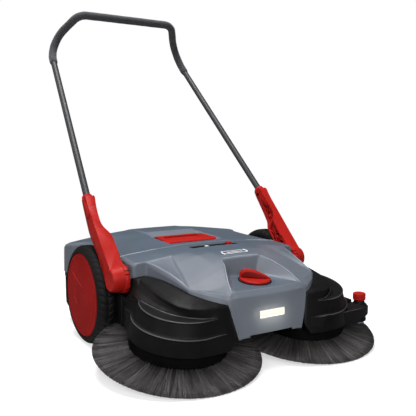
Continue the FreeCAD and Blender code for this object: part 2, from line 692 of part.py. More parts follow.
def arc_row(radius, height, front, rear):
    """guard row round the left disc's axis, with loose points at both ends"""
    arc = []
    for angle in GUARD_ANGLES:
        a = math.radians(angle)
        arc.append(disc_point(radius * math.sin(a), -radius * math.cos(a), height, LEFT))
    return front + arc + rear


def line_row(line, front, rear):
    """guard row evenly spaced along a line, with loose points at both ends"""
    last = len(GUARD_ANGLES) - 1
    return front + [along(line, i / last) for i in range(last + 1)] + rear


# rows from the hood's edge down to the lower rim, each from the front corner to the rear
GUARD_ROWS = [
    line_row(HOOD_LINE, [(118.5, -395.5, 164.5), (132, -389, 168.5)],
             [(214, -206, 205), (218, -191, 203)]),
    line_row(SHOULDER_LINE, [(115, -401.5, 160), (140, -397, 161)],
             [(232, -196, 197), (226, -190, 198)]),
    line_row(LEDGE_LINE, [(111, -405, 142), (151, -405.5, 143)],
             [(268, -212, 164), (260, -190, 161)]),
    arc_row(100.5, 124, [(110.5, -405.5, 140), (150, -407.5, 141)],
            [(276, -214, 161), (266, -176, 158)]),
    arc_row(115, 91, [(102, -411, 105), (148, -415, 105)],
            [(281, -206, 133), (270, -172, 134)]),
    arc_row(121.5, 66, [(100, -413.5, 86), (148, -417, 80)],
            [(283, -205, 108), (272, -172, 112)]),
    arc_row(125, 50, [(121, -417.5, 64), (150, -419, 63.7)],
            [(283, -205, 92), (272, -172, 98)]),
]


def brush_guards(hood):
    """left and right guard, trimmed to clear the hood"""
    clearance = grid_shell(HOOD_ROWS, 4.5, 0.6)
    guard = grid_shell(GUARD_ROWS, SHELL_T)
    return [largest_solid(shape.cut(clearance).cut(hood)) for shape in (guard, mirrored(guard))]


def guide_bracket(guard):
    """bracket on the left guard; carries the guide roller and the hold-down screw"""
    bracket = prism_z([(250, -406), (352, -380), (374, -362), (376, -336), (350, -322),
                       (305, -318)], 66, 20)
    bracket = bracket.cut(prism_z([(262, -399), (338, -376), (330, -334), (280, -334)], 60, 23))
    bracket = bracket.fuse(rod_z(13.5, 85, 97, GUIDE))
    bracket = bracket.cut(rod_z(GUIDE_SLEEVE_R + 0.05, 60, 110, GUIDE))
    bracket = bracket.cut(on_disc(rod_z(123.5, -20, 60), LEFT))
    bracket = bracket.cut(on_disc(Part.makeCone(125.4, 113, 45, Vector(0, 0, 48)), LEFT))
    bracket = bracket.cut(grid_shell(GUARD_ROWS, 3.4, 0.5)).cut(guard)
    return largest_solid(bracket)


# ---------------------------------------------------------------- guide roller, hold-down screw
def roller_sleeve():
    bore = PRESS_SCREW_R + 0.1
    return turned_z([(bore, 38), (14, 38), (14, 41), (GUIDE_SLEEVE_R, 41), (GUIDE_SLEEVE_R, 97),
                     (bore, 97)], GUIDE)


def guide_roller():
    bore = GUIDE_SLEEVE_R + 0.06
    return turned_z([(bore, 42), (17, 42), (20, 45), (20, 62), (17, 65.3), (bore, 65.3)], GUIDE)


def press_screw():
    return joined(rod_z(PRESS_SCREW_R, 20.6, 112, GUIDE), rod_z(9, 97.4, 99.6, GUIDE))


def press_knob():
    bore = PRESS_SCREW_R + 0.02
    return turned_z([(0, 113), (0, 121), (13.5, 121), (17.2, 118), (17.2, 101.5), (14.5, 100),
                     (bore, 100), (bore, 113)], GUIDE)


def press_shoe():
    return prism_z([(352, -362), (378, -358), (380, -332), (357, -330)], 14, 6)


# ---------------------------------------------------------------- lamp, badge, battery
def lamp_bezel():
    bezel = box(-35.5, 35.5, -413.5, -398.5, 119.5, 142.5)
    bezel = bezel.cut(box(-31.5, 31.5, -420, -401, 123, 139))
    return bezel.cut(rod_y(2.6, -405, -395, CABLE_X, CABLE_Z))


def lamp_cable():
    curve = Part.BSplineCurve()
    curve.interpolate([Vector(92, -232.5, 140), Vector(92, -250, 140), Vector(84, -300, 129),
                       Vector(50, -360, 127)]
                      + [Vector(CABLE_X, y, CABLE_Z) for y in (-388, -396, -402.6)])
    return pipe(Part.Wire(curve.toShape()), 2.0)


def badge_plate():
    """six-sided plate on the slope of the hood's crown"""
    outline = [(-36, -245), (36, -245), (40, -254), (36, -263), (-36, -263), (-40, -254)]
    return prism([(x, y, 254.4 + 0.2 * (y + 255)) for x, y in outline], (0, -0.24, 1.2))


def battery_pack():
    body = box(62, 120, -232, -144, DECK_Z + 4.2, DECK_Z + 44)
    return body.fuse(box(68, 114, -226, -150, DECK_Z + 44, DECK_Z + 47))


# ---------------------------------------------------------------- dust container
TUB_X, TUB_WIDE_X = 235.0, 285       # half widths of the tub: front, and behind the wheels
TUB_FRONT_Y, TUB_REAR_Y = 16, 250
TUB_Z, TUB_HEIGHT = 42, 106


def tub_outline(inset, front_y):
    return symmetric([(TUB_X - inset, front_y), (TUB_X - inset, 144), (TUB_WIDE_X - inset, 160),
                      (TUB_WIDE_X - inset, 232 - inset), (268, TUB_REAR_Y - inset)])


def dust_tub():
    """tub open at the top and front, with a ramp along its front edge"""
    tub = prism_z(tub_outline(0, TUB_FRONT_Y), TUB_Z, TUB_HEIGHT)
    tub = tub.cut(prism_z(tub_outline(3, 10), TUB_Z + 3.5, 140))
    ramp = prism_x([(TUB_FRONT_Y, TUB_Z), (34, TUB_Z), (22, 62), (TUB_FRONT_Y, 62)],
                   -TUB_X, 2 * TUB_X)
    return tub.fuse(ramp).removeSplitter()


# y, x of the outer edge, z at seven places from the middle out, z of the lower edge
COVER_STATIONS = [
    (SEAM_Y + 1, 251.5, [259.5, 258.5, 256.5, 254, 249.5, 245, 239.5], 178),
    (-60, 252.5, [257, 256.6, 257.8, 255, 250, 245, 239], 178),
    (-42, 253, [254.4, 254, 258.6, 255.5, 250, 245, 239], 178),
    (-38, 253, [253, 253, 259, 256, 250, 245, 239], 178),
    (50, 255, [253, 253, 262.5, 258.5, 252, 246, 240], 178),
    (96, 256, [267, 267, 265.5, 261, 254, 247.5, 241], 178),
    (104, 257, [269, 269, 266, 261.5, 254, 247.5, 241], 178),
    (138, 260, [269, 268, 266, 262, 255, 248, 241.5], 172),
    (160, 283, [269, 268, 266, 262, 255, 245, 236], 150.5),
    (205, 286, [266, 265, 263, 259, 252, 241, 231], 150.5),
    (236, 284, [260, 259, 257, 254, 247, 234, 222], 150.5),
    (248, 278, [250, 249, 247, 244, 237, 222, 208], 150.5),
]
COVER_INNER_X = [0, 79, 88, 140, 193]
# lower rear edge of the cover, (x, y, z)
COVER_END = [(x, 251.5, 150.5) for x in COVER_INNER_X + [262]] + \
    [(272, 248.5, 150.5), (279, 244, 150.5)]


def container_cover():
    rows = []
    for y, edge_x, heights, lower_z in COVER_STATIONS:
        xs = COVER_INNER_X + [edge_x - 14, edge_x]
        row = [(x, y, z) for x, z in zip(xs, heights)]
        row.append((edge_x + (0 if y < 150 else 1), y, lower_z))
        rows.append(row)
    rows.append(COVER_END)
    cover = grid_shell(whole_rows(rows)[::-1], SHELL_T)
    y, z = HINGE
    for x in (84.4, -89.4):          # hinge ears
        cover = cover.fuse(box(x, x + 5, y - 5, y + 5, 254, z + 3.6))
    cover = cover.cut(rod_x(HINGE_R + 0.06, -90, 90, HINGE))
    return cover.removeSplitter()


def container_handle():
    """carrying plate with a finger slot, hinged at its front edge"""
    plate = prism_z(symmetric([(77, 47), (82.5, -17), (78, -24), (78, -33)]), 256.2, 5)
    plate = plate.cut(prism_z([(-66, 10), (66, 10), (64, 26), (-64, 26)], 250, 20))
    plate = plate.cut(box(-90, 90, -40, HINGE[0] - 3.5, 250, 259))
    return joined(plate, rod_x(HINGE_R, -88.5, -70, HINGE), rod_x(HINGE_R, 70, 88.5, HINGE))


# ---------------------------------------------------------------- handle arms
# The arm is what lies inside both its side outline and a front outline that narrows from the
# hub to the tube.
ARM_SIDE = [        # (y, z)
    (-172, 208), (-155, 225), (-111, 268.5), (-67, 313), (-37, 343.5), (-14, 367), (4, 390),
    (11, 393), (24, 388), (31, 379), (20, 359), (3, 331), (-18, 300), (-34, 284), (-60, 264),
    (-80, 244), (-103, 216), (-118, 196), (-134, 172)]
ARM_FRONT = [       # (x, distance up the front face): up the inner edge, down the outer edge
    (ARM_IN_X, -70), (ARM_IN_X, 60), (ARM_IN_X + 1.5, 88), (ARM_IN_X + 5, 101), (270.5, 114),
    (274.5, 128), (278, 142), (280, 158), (280, 290),
    (297, 290), (299, 190), (ARM_OUT_X, 120), (ARM_OUT_X, -70)]
ARM_FACE_START = Vector(0, -155, 225)
ARM_FACE_DIR = Vector(0, 0.7161, 0.6980)
ARM_FACE_NORMAL = Vector(0, -0.6980, 0.7161)
ARM_POCKETS = [     # (y, z)
    [(-102, 221), (-60, 270), (-68, 302), (-107, 264), (-128, 243)],
    [(-52, 283), (-28, 306), (-14, 328), (-30, 342), (-61, 309)]]
ARM_RIBS = [        # (y, z) of both ends
    ((-102, 221), (-107, 264)), ((-60, 270), (-128, 243)), ((-82, 245), (-90, 281)),
    ((-52, 283), (-30, 342)), ((-28, 306), (-61, 309)), ((-102, 221), (-68, 302))]
TUBE_DIR = unit(BEND - ARM_TOP)
GRUB = ARM_TOP - TUBE_DIR * 24       # where the grub screw meets the tube's axis


def arm_rib(start, end):
    """rib 2 thick between two points of the side view"""
    dy, dz = end[0] - start[0], end[1] - start[1]
    length = math.hypot(dy, dz)
    ny, nz = -dz / length, dy / length
    return prism_x([(start[0] + ny, start[1] + nz), (end[0] + ny, end[1] + nz),
                    (end[0] - ny, end[1] - nz), (start[0] - ny, start[1] - nz)], 262, 37)


def handle_arm():
    front = []
    for x, distance in ARM_FRONT:
        p = ARM_FACE_START + ARM_FACE_DIR * distance + ARM_FACE_NORMAL * -150
        front.append((x, p.y, p.z))
    front_block = prism(front, tuple(ARM_FACE_NORMAL * 260))
    side_block = prism_x(ARM_SIDE, ARM_IN_X - 4, 50)
    hub = turned_x([(259, 0), (259, 36), (271.5, 36), (271.5, 32.5), (284, 32.5), (287, 27),
                    (302, 27), (302, 0)], HANDLE_PIVOT)
    arm = joined(side_block.common(front_block), hub)
    for outline in ARM_POCKETS:      # open to the inner side
        arm = arm.cut(prism_x(outline, ARM_IN_X - 5, ARM_OUT_X - ARM_IN_X + 1))
    arm = arm.fuse([arm_rib(start, end).common(front_block) for start, end in ARM_RIBS])
    collar = Part.makeCylinder(TUBE_R + 4.5, 56, ARM_TOP - TUBE_DIR * 56, TUBE_DIR)
    socket = Part.makeCylinder(TUBE_R + 0.05, 90, ARM_TOP - TUBE_DIR * 50, TUBE_DIR)
    arm = arm.fuse(collar).cut(socket)
    arm = arm.cut(rod_x(PIVOT_BOLT_R + 0.06, 250, 299, HANDLE_PIVOT))
    arm = arm.cut(rod_x(14, 258, 263, HANDLE_PIVOT))         # washer recess
    arm = arm.cut(rod_x(2.56, 268, GRUB.x, (GRUB.y, GRUB.z)))
    return arm.removeSplitter()


def arm_screws():
    """grub screws on the inner sides of the arms"""
    axis = (GRUB.y, GRUB.z)
    return both_sides(joined(rod_x(2.5, 272.5, GRUB.x - TUBE_R - 0.3, axis),
                             rod_x(4.5, 270.2, 272.8, axis)))


def pivot_bolts():
    bolt = joined(rod_x(PIVOT_BOLT_R, 232, 297, HANDLE_PIVOT),
                  rod_x(13.5, 231, 238.8, HANDLE_PIVOT))
    washer = ring_x(PIVOT_BOLT_R + 0.1, 13.5, 246.7, 262.7, HANDLE_PIVOT)
    return both_sides(bolt, washer)


# ---------------------------------------------------------------- handle tube and grip
TUBE_START = ARM_TOP - TUBE_DIR * TUBE_IN_ARM
GRIP_START = BEND - unit(BEND - TUBE_START) * GRIP_REACH


def rounded_path(points, radii):
    """edges of a polyline with rounded corners"""
    edges = []
    last = points[0]
    for before, corner, after, radius in zip(points, points[1:], points[2:], radii):
        back, ahead = unit(before - corner), unit(after - corner)
        angle = back.getAngle(ahead)
        setback = radius / math.tan(angle / 2)
        start, end = corner + back * setback, corner + ahead * setback
        bisector = unit(back + ahead)
        centre = corner + bisector * (radius / math.sin(angle / 2))
        edges.append(Part.LineSegment(last, start).toShape())
        edges.append(Part.Arc(start, centre - bisector * radius, end).toShape())
        last = end
    edges.append(Part.LineSegment(last, points[-1]).toShape())
    return edges


def handle_pipe(start, outer_r, inner_r):
    """hollow pipe from start, round the bends and down to the same place on the right"""
    half = [start, BEND, CORNER]
    points = half + [Vector(-p.x, p.y, p.z) for p in reversed(half)]
    wire = Part.Wire(Part.__sortEdges__(rounded_path(points, BEND_RADII)))
    return pipe(wire, outer_r).cut(pipe(wire, inner_r))


# ---------------------------------------------------------------- write the pieces
def write(name, *shapes):
    solids = [solid for shape in shapes for solid in shape.Solids]
    piece = solids[0] if len(solids) == 1 else Part.makeCompound(solids)
    piece.exportStep("parts/%s.step" % name)


def write_pair(name, shape):
    write(name + "_left", shape)
    write(name + "_right", mirrored(shape))


write_pair("tyre", tyre())
write_pair("wheel_rim", wheel_rim())
write_pair("wheel_cap", wheel_cap())
write_pair("wheel_bush", wheel_bush())
write("stub_axles", *stub_axles())

write_pair("drive_pinion", drive_pinion())
write("drive_shaft_left", *drive_shaft(), turned_x(flat_belt_pulley(FLAT_SHAFT_R, 6), SHAFT))
write("drive_shaft_right", *[mirrored(shape) for shape in drive_shaft()])
write("drive_bushes", *drive_bushes())
write("drive_belts", *round_belt(LEFT), *round_belt(RIGHT))
for side_name, side in (("left", LEFT), ("right", RIGHT)):
    write("brush_disc_" + side_name, on_disc(disc_plate(), side))
    write("bristle_ring_" + side_name, on_disc(disc_bristles(), side))
    write("brush_shaft_" + side_name, on_disc(disc_shaft(), side), on_disc(disc_pulley(), side))

write("base_frame", base_frame())
write("deck_screws", *deck_screws())
write("support_lever", support_lever())
write("lever_pin", rod_x(LEVER_PIN_R, -57, 57, LEVER_PIVOT))
write("support_axle", rod_x(SUPPORT_AXLE_R, -46, 46, SUPPORT))
write("support_rollers", *support_rollers())
write("height_dial", height_dial())
write("dial_spindle", dial_spindle())

write("roller_core", *roller_core())
write("roller_bristles", *roller_bristles())
write("roller_belt", roller_belt())
write("roller_cradle", roller_cradle())

hood_shell = front_hood()
guard_left, guard_right = brush_guards(hood_shell)
write("front_hood", hood_shell)
write("slider_track", slider_track())
write("height_slider", height_slider())
write("brush_guard_left", guard_left)
write("brush_guard_right", guard_right)
write("guide_bracket", guide_bracket(guard_left))
write("roller_sleeve", roller_sleeve())
write("guide_roller", guide_roller())
write("press_screw", press_screw())
write("press_knob", press_knob())
write("press_shoe", press_shoe())

write("lamp_bezel", lamp_bezel())
write("lamp_lens", box(-31.2, 31.2, -413.2, -410.2, 123.2, 138.8))
write("lamp_board", box(-30, 30, -405, -403, 124, 138))
write("lamp_cable", lamp_cable())
write("badge_plate", badge_plate())
write("battery_pack", battery_pack())

write("dust_tub", dust_tub())
write("tub_lip", box(-232, 232, 12.8, 15.8, 38, 62))
write("container_cover", container_cover())
write("container_handle", container_handle())

write_pair("handle_arm", handle_arm())
write("arm_screws", *arm_screws())
write("pivot_bolts", *pivot_bolts())
write("handle_tube", handle_pipe(TUBE_START, TUBE_R, TUBE_R - TUBE_WALL))
write("handle_grip", handle_pipe(GRIP_START, GRIP_R, TUBE_R + 0.02))
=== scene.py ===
"""A push sweeper: a hood and a dust container over two tilted disc brushes and a roller brush,
on two wheels, with a folding handle.

+Z is up, the front faces -Y and the left side is +X. Shapes are given in mm and turned into
metres when a mesh is made; materials, lights and the camera are in metres.
"""
import json
import math
from contextlib import contextmanager

import bmesh
import bpy
import numpy as np
from mathutils import Matrix, Vector


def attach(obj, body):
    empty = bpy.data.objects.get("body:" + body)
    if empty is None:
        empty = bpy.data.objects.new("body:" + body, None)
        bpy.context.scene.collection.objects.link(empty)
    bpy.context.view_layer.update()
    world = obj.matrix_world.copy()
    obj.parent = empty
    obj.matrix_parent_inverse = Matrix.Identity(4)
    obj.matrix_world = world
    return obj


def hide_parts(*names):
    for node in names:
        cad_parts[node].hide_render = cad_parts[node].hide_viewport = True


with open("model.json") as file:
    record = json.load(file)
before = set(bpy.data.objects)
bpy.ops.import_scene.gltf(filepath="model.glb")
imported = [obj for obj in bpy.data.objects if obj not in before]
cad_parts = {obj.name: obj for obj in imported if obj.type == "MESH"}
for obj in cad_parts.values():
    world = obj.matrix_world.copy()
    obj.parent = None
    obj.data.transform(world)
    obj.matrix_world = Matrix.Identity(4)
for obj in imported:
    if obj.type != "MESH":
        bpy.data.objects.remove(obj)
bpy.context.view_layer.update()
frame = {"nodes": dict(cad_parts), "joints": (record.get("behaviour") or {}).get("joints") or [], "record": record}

MM = 0.001

# ---------------------------------------------------------------- places taken from the frame
JOINTS = {joint["name"]: joint for joint in frame["joints"]}


def joint_place(name):
    return Vector(JOINTS[name]["pos_m"]) * 1000


def joint_axis(name):
    return Vector(JOINTS[name]["axis"]).normalized()


WHEEL_Z = JOINTS["wheel_left_spin"]["pos_m"][2] * 1000
ROLLER_Y, ROLLER_Z = [c * 1000 for c in JOINTS["roller_spin"]["pos_m"][1:3]]
HUB = joint_place("handle_fold")
GUIDE = joint_place("guide_roller_spin")
DIAL = joint_place("dial_turn")
DIAL_TURN = Vector((0, 0, 1)).rotation_difference(joint_axis("dial_turn")).to_matrix().to_4x4()
DIAL_MATRIX = Matrix.Translation(DIAL) @ DIAL_TURN
DISC = joint_place("disc_left_spin")
DISC_AXIS = joint_axis("disc_left_spin")
DISC_TILT = Matrix.Rotation(math.atan2(-DISC_AXIS.y, DISC_AXIS.z), 3, "X")
DISC_MATRIX = Matrix.Translation(DISC) @ DISC_TILT.to_4x4()

# ---------------------------------------------------------------- shader graphs
MATERIALS = {}


class Graph:
    """A cleared node tree, with short ways to add and link nodes."""

    def __init__(self, tree, output_kind):
        self.tree = tree
        tree.nodes.clear()
        self.output = self.add(output_kind)

    def add(self, kind, inputs={}, **settings):
        node = self.tree.nodes.new("ShaderNode" + kind)
        for key, value in settings.items():
            setattr(node, key, value)
        self.feed(node, inputs)
        return node

    def feed(self, node, inputs):
        """inputs by name or number: sockets are linked, values are set, None is skipped"""
        for key, value in inputs.items():
            socket = node.inputs[key]
            if isinstance(value, bpy.types.NodeSocket):
                self.tree.links.new(value, socket)
            elif value is not None:
                socket.default_value = (*value, 1.0) if socket.type == "RGBA" else value


class Material(Graph):
    """A named material around one principled shader."""

    def __init__(self, name):
        material = bpy.data.materials.new(name)
        material.use_nodes = True
        MATERIALS[name] = material
        super().__init__(material.node_tree, "OutputMaterial")
        self.shader = self.add("BsdfPrincipled")
        self.feed(self.output, {0: self.shader.outputs[0]})
        self.coords = self.add("TexCoord").outputs["Object"]

    def surface(self, inputs):
        self.feed(self.shader, inputs)

    def noise(self, scale, detail, roughness=0.5, coords=None):
        vector = self.coords if coords is None else coords
        inputs = {"Scale": scale, "Detail": detail, "Roughness": roughness, "Vector": vector}
        return self.add("TexNoise", inputs).outputs["Fac"]

    def mix(self, factor, first, second, blend="MIX"):
        inputs = {0: factor, 6: first, 7: second}
        return self.add("Mix", inputs, data_type="RGBA", blend_type=blend).outputs[2]

    def ramp(self, source, low, high, start=0.0, end=1.0):
        return self.add("MapRange", {0: source, 1: low, 2: high, 3: start, 4: end}).outputs[0]

    def normal_z(self):
        normal = self.add("NewGeometry").outputs["Normal"]
        return self.add("SeparateXYZ", {0: normal}).outputs[2]

    def bump(self, height, strength, distance, normal=None):
        inputs = {"Height": height, "Strength": strength, "Distance": distance, "Normal": normal}
        return self.add("Bump", inputs).outputs[0]

    def rounded_normal(self, radius):
        if not radius:
            return None
        return self.add("Bevel", {"Radius": radius}, samples=6).outputs[0]


def shade(color, factor, lift=0.0):
    return tuple(min(1.0, c * factor + lift) for c in color)


def plastic(name, color, rough=0.42, grain=1400.0, bump=0.10, mottle=0.06, edge=0.10,
            spec=0.5, bevel=0.0, dust=0.0, painted_tilt_shade=None):
    """Moulded plastic: fine grain, slow colour and gloss variation, paler edges that are partly wear, partly a
    painted highlight.

    The last argument holds painted light: a darkening tint for level faces (painted shade) and a lightening one
    for sloping faces (painted highlight).
    """
    mat = Material(name)
    fine = mat.noise(grain, detail=3.0, roughness=0.65)
    slow = mat.noise(14.0, detail=5.0, roughness=0.55)
    middle = mat.noise(160.0, detail=3.0, roughness=0.6)
    tint = mat.mix(mat.ramp(slow, 0.35, 0.65), shade(color, 1 - mottle * 1.6),
                   shade(color, 1 + mottle * 1.6, lift=0.002))
    # paler convex edges: partly wear, partly a painted highlight along ridges
    if edge > 0:
        corner = mat.add("NewGeometry").outputs["Pointiness"]
        wear_and_highlight = shade(color, 1.5, lift=0.06)
        tint = mat.mix(mat.ramp(corner, 0.505, 0.56, end=edge), tint, wear_and_highlight)
    if dust > 0:
        upward = mat.ramp(mat.normal_z(), 0.3, 1.0, end=dust)
        patches = mat.ramp(middle, 0.3, 0.75)
        amount = mat.add("Math", {0: upward, 1: patches}, operation="MULTIPLY").outputs[0]
        tint = mat.mix(amount, tint, (0.34, 0.33, 0.31))
    # painted light: level faces darkened and sloping faces lightened by their tilt
    if painted_tilt_shade:
        shaded_level, lit_slope = [mat.mix(1.0, tint, color2, "MULTIPLY") for color2 in painted_tilt_shade]
        tint = mat.mix(mat.ramp(mat.normal_z(), 0.955, 0.996), lit_slope, shaded_level)
    low, high = max(0.03, rough - 0.05), min(1.0, rough + 0.06)
    mat.surface({"Base Color": tint, "Specular IOR Level": spec,
                 "Roughness": mat.ramp(middle, 0.3, 0.7, low, high),
                 "Normal": mat.bump(fine, bump, 0.00012, mat.rounded_normal(bevel))})


def metal(name, color, rough):
    """Metal with fine streaks across X."""
    mat = Material(name)
    stretch = mat.add("Mapping", {"Scale": (60, 900, 900), "Vector": mat.coords}).outputs[0]
    streaks = mat.noise(6.0, detail=4.0, roughness=0.6, coords=stretch)
    clouds = mat.noise(40.0, detail=4.0, roughness=0.6)
    mat.surface({
        "Base Color": mat.mix(mat.ramp(clouds, 0.3, 0.7), shade(color, 0.88), shade(color, 1.1)),
        "Roughness": mat.ramp(streaks, 0.3, 0.7, rough * 0.75, rough * 1.3),
        "Metallic": 1.0,
        "Normal": mat.bump(streaks, 0.25, 0.00005, mat.rounded_normal(0.0005))})


def foam(name, color):
    """Foam: small cells over soft lumps, with a faint sheen."""
    mat = Material(name)
    voronoi = mat.add("TexVoronoi", {"Scale": 900.0, "Vector": mat.coords})
    lumps = mat.noise(45.0, detail=6.0, roughness=0.7)
    cells = mat.bump(voronoi.outputs["Distance"], 0.45, 0.0003)
    mat.surface({
        "Base Color": mat.mix(mat.ramp(lumps, 0.35, 0.7), shade(color, 0.75), shade(color, 1.3)),
        "Roughness": 0.82, "Sheen Weight": 0.25, "Sheen Roughness": 0.5,
        "Normal": mat.bump(lumps, 0.3, 0.0008, cells)})


def rubber(name, color, rough=0.62, dust=0.10):
    """Rubber: dusty patches and a fine grain."""
    mat = Material(name)
    patches = mat.noise(70.0, detail=8.0, roughness=0.7)
    fine = mat.noise(1800.0, detail=2.0)
    dusty = mat.ramp(patches, 0.5, 0.75, end=dust)
    mat.surface({"Base Color": mat.mix(dusty, color, (0.16, 0.155, 0.145)),
                 "Roughness": mat.ramp(patches, 0.3, 0.7, rough - 0.1, rough + 0.12),
                 "Specular IOR Level": 0.16,
                 "Normal": mat.bump(fine, 0.2, 0.0002)})


def nylon(name, color, tip):
    """Bristles: a per-point attribute blends from a dark root colour, painted shade at the roots, to the pale tip
    colour.
    """
    mat = Material(name)
    strand_tone_and_root_shade = mat.add("Attribute", attribute_name="strand_tone_and_root_shade").outputs["Fac"]
    tint = mat.mix(strand_tone_and_root_shade, shade(color, 0.55), tip)
    dark = mat.ramp(mat.noise(400.0, detail=2.0), 0.35, 0.65, end=0.35)
    mat.surface({"Base Color": mat.mix(dark, tint, shade(color, 0.6)),
                 "Roughness": 0.5, "Specular IOR Level": 0.25})


def lit_lens(name):
    """A lit diffuser with fine bands along X."""
    mat = Material(name)
    wave = mat.add("TexWave", {"Scale": 120.0, "Vector": mat.coords},
                   wave_type="BANDS", bands_direction="X").outputs["Fac"]
    glow = mat.mix(mat.ramp(wave, 0.0, 1.0), (1.0, 0.93, 0.66), (1.0, 0.96, 0.78))
    mat.surface({"Base Color": (0.10, 0.097, 0.08), "Roughness": 0.25, "Emission Color": glow,
                 "Emission Strength": mat.ramp(wave, 0.0, 1.0, 0.75, 0.95)})


# the grey shell carries painted light: level tops darker, sloping faces lighter
plastic("grey_shell", (0.110, 0.126, 0.150), rough=0.44, bump=0.20, mottle=0.03, spec=0.34,
        dust=0.01, painted_tilt_shade=((0.66, 0.76, 0.84), (1.12, 1.10, 1.10)))
plastic("black_shell", (0.0042, 0.0039, 0.0042), rough=0.46, bump=0.18, mottle=0.10, edge=0.05,
        spec=0.10, dust=0.015)
plastic("black_plastic", (0.0060, 0.0058, 0.0062), rough=0.5, bump=0.2, mottle=0.1, edge=0.05,
        spec=0.15, bevel=0.0012, dust=0.02)
plastic("red", (0.35, 0.0085, 0.0055), rough=0.46, bump=0.12, mottle=0.05, edge=0.03,
        spec=0.12, bevel=0.0012)
metal("steel", (0.52, 0.53, 0.55), rough=0.32)
metal("blued_steel", (0.05, 0.012, 0.012), rough=0.5)
plastic("grey_tube", (0.030, 0.031, 0.033), rough=0.46, grain=2600.0, mottle=0.05, edge=0.0,
        spec=0.28)
foam("foam", (0.020, 0.021, 0.024))
rubber("tyre", (0.0048, 0.0046, 0.0046), rough=0.66, dust=0.03)
rubber("roller_rubber", (0.016, 0.016, 0.016))
nylon("bristle", (0.010, 0.0095, 0.0095), tip=(0.155, 0.146, 0.143))
rubber("belt", (0.014, 0.014, 0.014), rough=0.5, dust=0.05)
plastic("white_plastic", (0.72, 0.72, 0.70), rough=0.4, bump=0.12, mottle=0.03, edge=0.0,
        bevel=0.0006)
plastic("board", (0.02, 0.13, 0.05), rough=0.35, grain=600, bump=0.3, mottle=0.12, edge=0.0,
        bevel=0.0003)
rubber("cable", (0.02, 0.02, 0.02), rough=0.45, dust=0.02)
plastic("badge", (0.62, 0.64, 0.67), rough=0.30, bump=0.12, mottle=0.04, edge=0.15,
        bevel=0.0006)
plastic("red_cap", (0.27, 0.0062, 0.0050), rough=0.52, edge=0.05, spec=0.05, bevel=0.0008)
# a darker red for painted shade on the dial grip's sides
plastic("red_painted_shade", (0.15, 0.0050, 0.0042), rough=0.5, mottle=0.05, edge=0.0, spec=0.06)
# a lighter red for painted highlights on the wheel cap's beads
plastic("red_highlight_line", (0.42, 0.020, 0.016), rough=0.45, mottle=0.05, edge=0.0, spec=0.2)
# a pale grey for painted highlight lines on the hood
plastic("edge_highlight", (0.36, 0.39, 0.44), rough=0.35, bump=0.05, mottle=0.04, edge=0.0,
        spec=0.4)
# paler than the black shell: painted highlight lines on guard and bracket ridges; also the dial's tick marks
plastic("ridge_highlight_and_tick", (0.062, 0.058, 0.058), rough=0.38, bump=0.05, mottle=0.05, edge=0.0, spec=0.4)
plastic("badge_field", (0.075, 0.085, 0.10), rough=0.35, bump=0.12, mottle=0.05)
lit_lens("lamp")
# near-black, darker than the black plastic: painted shade in gaps, grooves and recesses
plastic("gap_shade_black", (0.0018, 0.0018, 0.0020), rough=0.75, bump=0.1, mottle=0.1, edge=0.0,
        spec=0.05)

SLOTS = {part["node"]: part["material_slot"] for part in frame["record"]["subparts"]}
for node_name, node_obj in frame["nodes"].items():
    slot_name = "blued_steel" if node_name == "arm_screws" else SLOTS[node_name]
    node_obj.data.materials.clear()
    node_obj.data.materials.append(MATERIALS[slot_name])


# ---------------------------------------------------------------- mesh helpers
def add_object(name, mesh):
    obj = bpy.data.objects.new(name, mesh)
    bpy.context.scene.collection.objects.link(obj)
    return obj


def make(name, verts, faces, mat):
    """a smooth-shaded object from points in mm"""
    mesh = bpy.data.meshes.new(name)
    mesh.from_pydata([tuple(c * MM for c in vert) for vert in verts], [], faces)
    mesh.update()
    mesh.materials.append(MATERIALS[mat])
    mesh.polygons.foreach_set("use_smooth", [True] * len(mesh.polygons))
    return add_object(name, mesh)


def bake(obj):
    """applies the modifiers, keeping the object"""
    bpy.context.view_layer.update()
    depsgraph = bpy.context.evaluated_depsgraph_get()
    mesh = bpy.data.meshes.new_from_object(obj.evaluated_get(depsgraph),
                                           preserve_all_data_layers=True, depsgraph=depsgraph)
    old = obj.data
    obj.modifiers.clear()
    obj.data = mesh
    bpy.data.meshes.remove(old)
    return obj


@contextmanager
def editing(obj):
    """the object's mesh as a bmesh, written back at the end"""
    bm = bmesh.new()
    bm.from_mesh(obj.data)
    yield bm
    bm.to_mesh(obj.data)
    bm.free()


def tidy(obj, merge=1e-6):
    """merges points closer than `merge` metres and turns the faces outwards"""
    with editing(obj) as bm:
        bmesh.ops.remove_doubles(bm, verts=bm.verts, dist=merge)
        bmesh.ops.recalc_face_normals(bm, faces=bm.faces)
    return obj


def crease_edges(obj, low, high, value, floor):
    """subdivision creases that grow as an edge's angle goes from low to high degrees"""
    with editing(obj) as bm:
        floats = bm.edges.layers.float
        layer = floats.get("crease_edge") or floats.new("crease_edge")
        for edge in bm.edges:
            if len(edge.link_faces) != 2:
                edge[layer] = 1.0
                continue
            angle = math.degrees(edge.calc_face_angle(0))
            if angle > low:
                grown = min(1.0, (angle - low) / (high - low))
                edge[layer] = min(1.0, value * (floor + (1 - floor) * grown))


def add_modifier(obj, kind, **settings):
    modifier = obj.modifiers.new(kind.lower(), kind)
    for key, value in settings.items():
        setattr(modifier, key, value)
    return obj


def subdivide(obj, levels):
    return add_modifier(obj, "SUBSURF", levels=levels, render_levels=levels,
                        boundary_smooth="PRESERVE_CORNERS")


def thicken(obj, thickness, offset=-1.0):
    return add_modifier(obj, "SOLIDIFY", thickness=thickness * MM, offset=offset,
                        use_even_offset=False)


def bevel_edges(obj, width, segments, angle):
    return add_modifier(obj, "BEVEL", width=width * MM, segments=segments,
                        limit_method="ANGLE", angle_limit=math.radians(angle),
                        harden_normals=False, use_clamp_overlap=True)


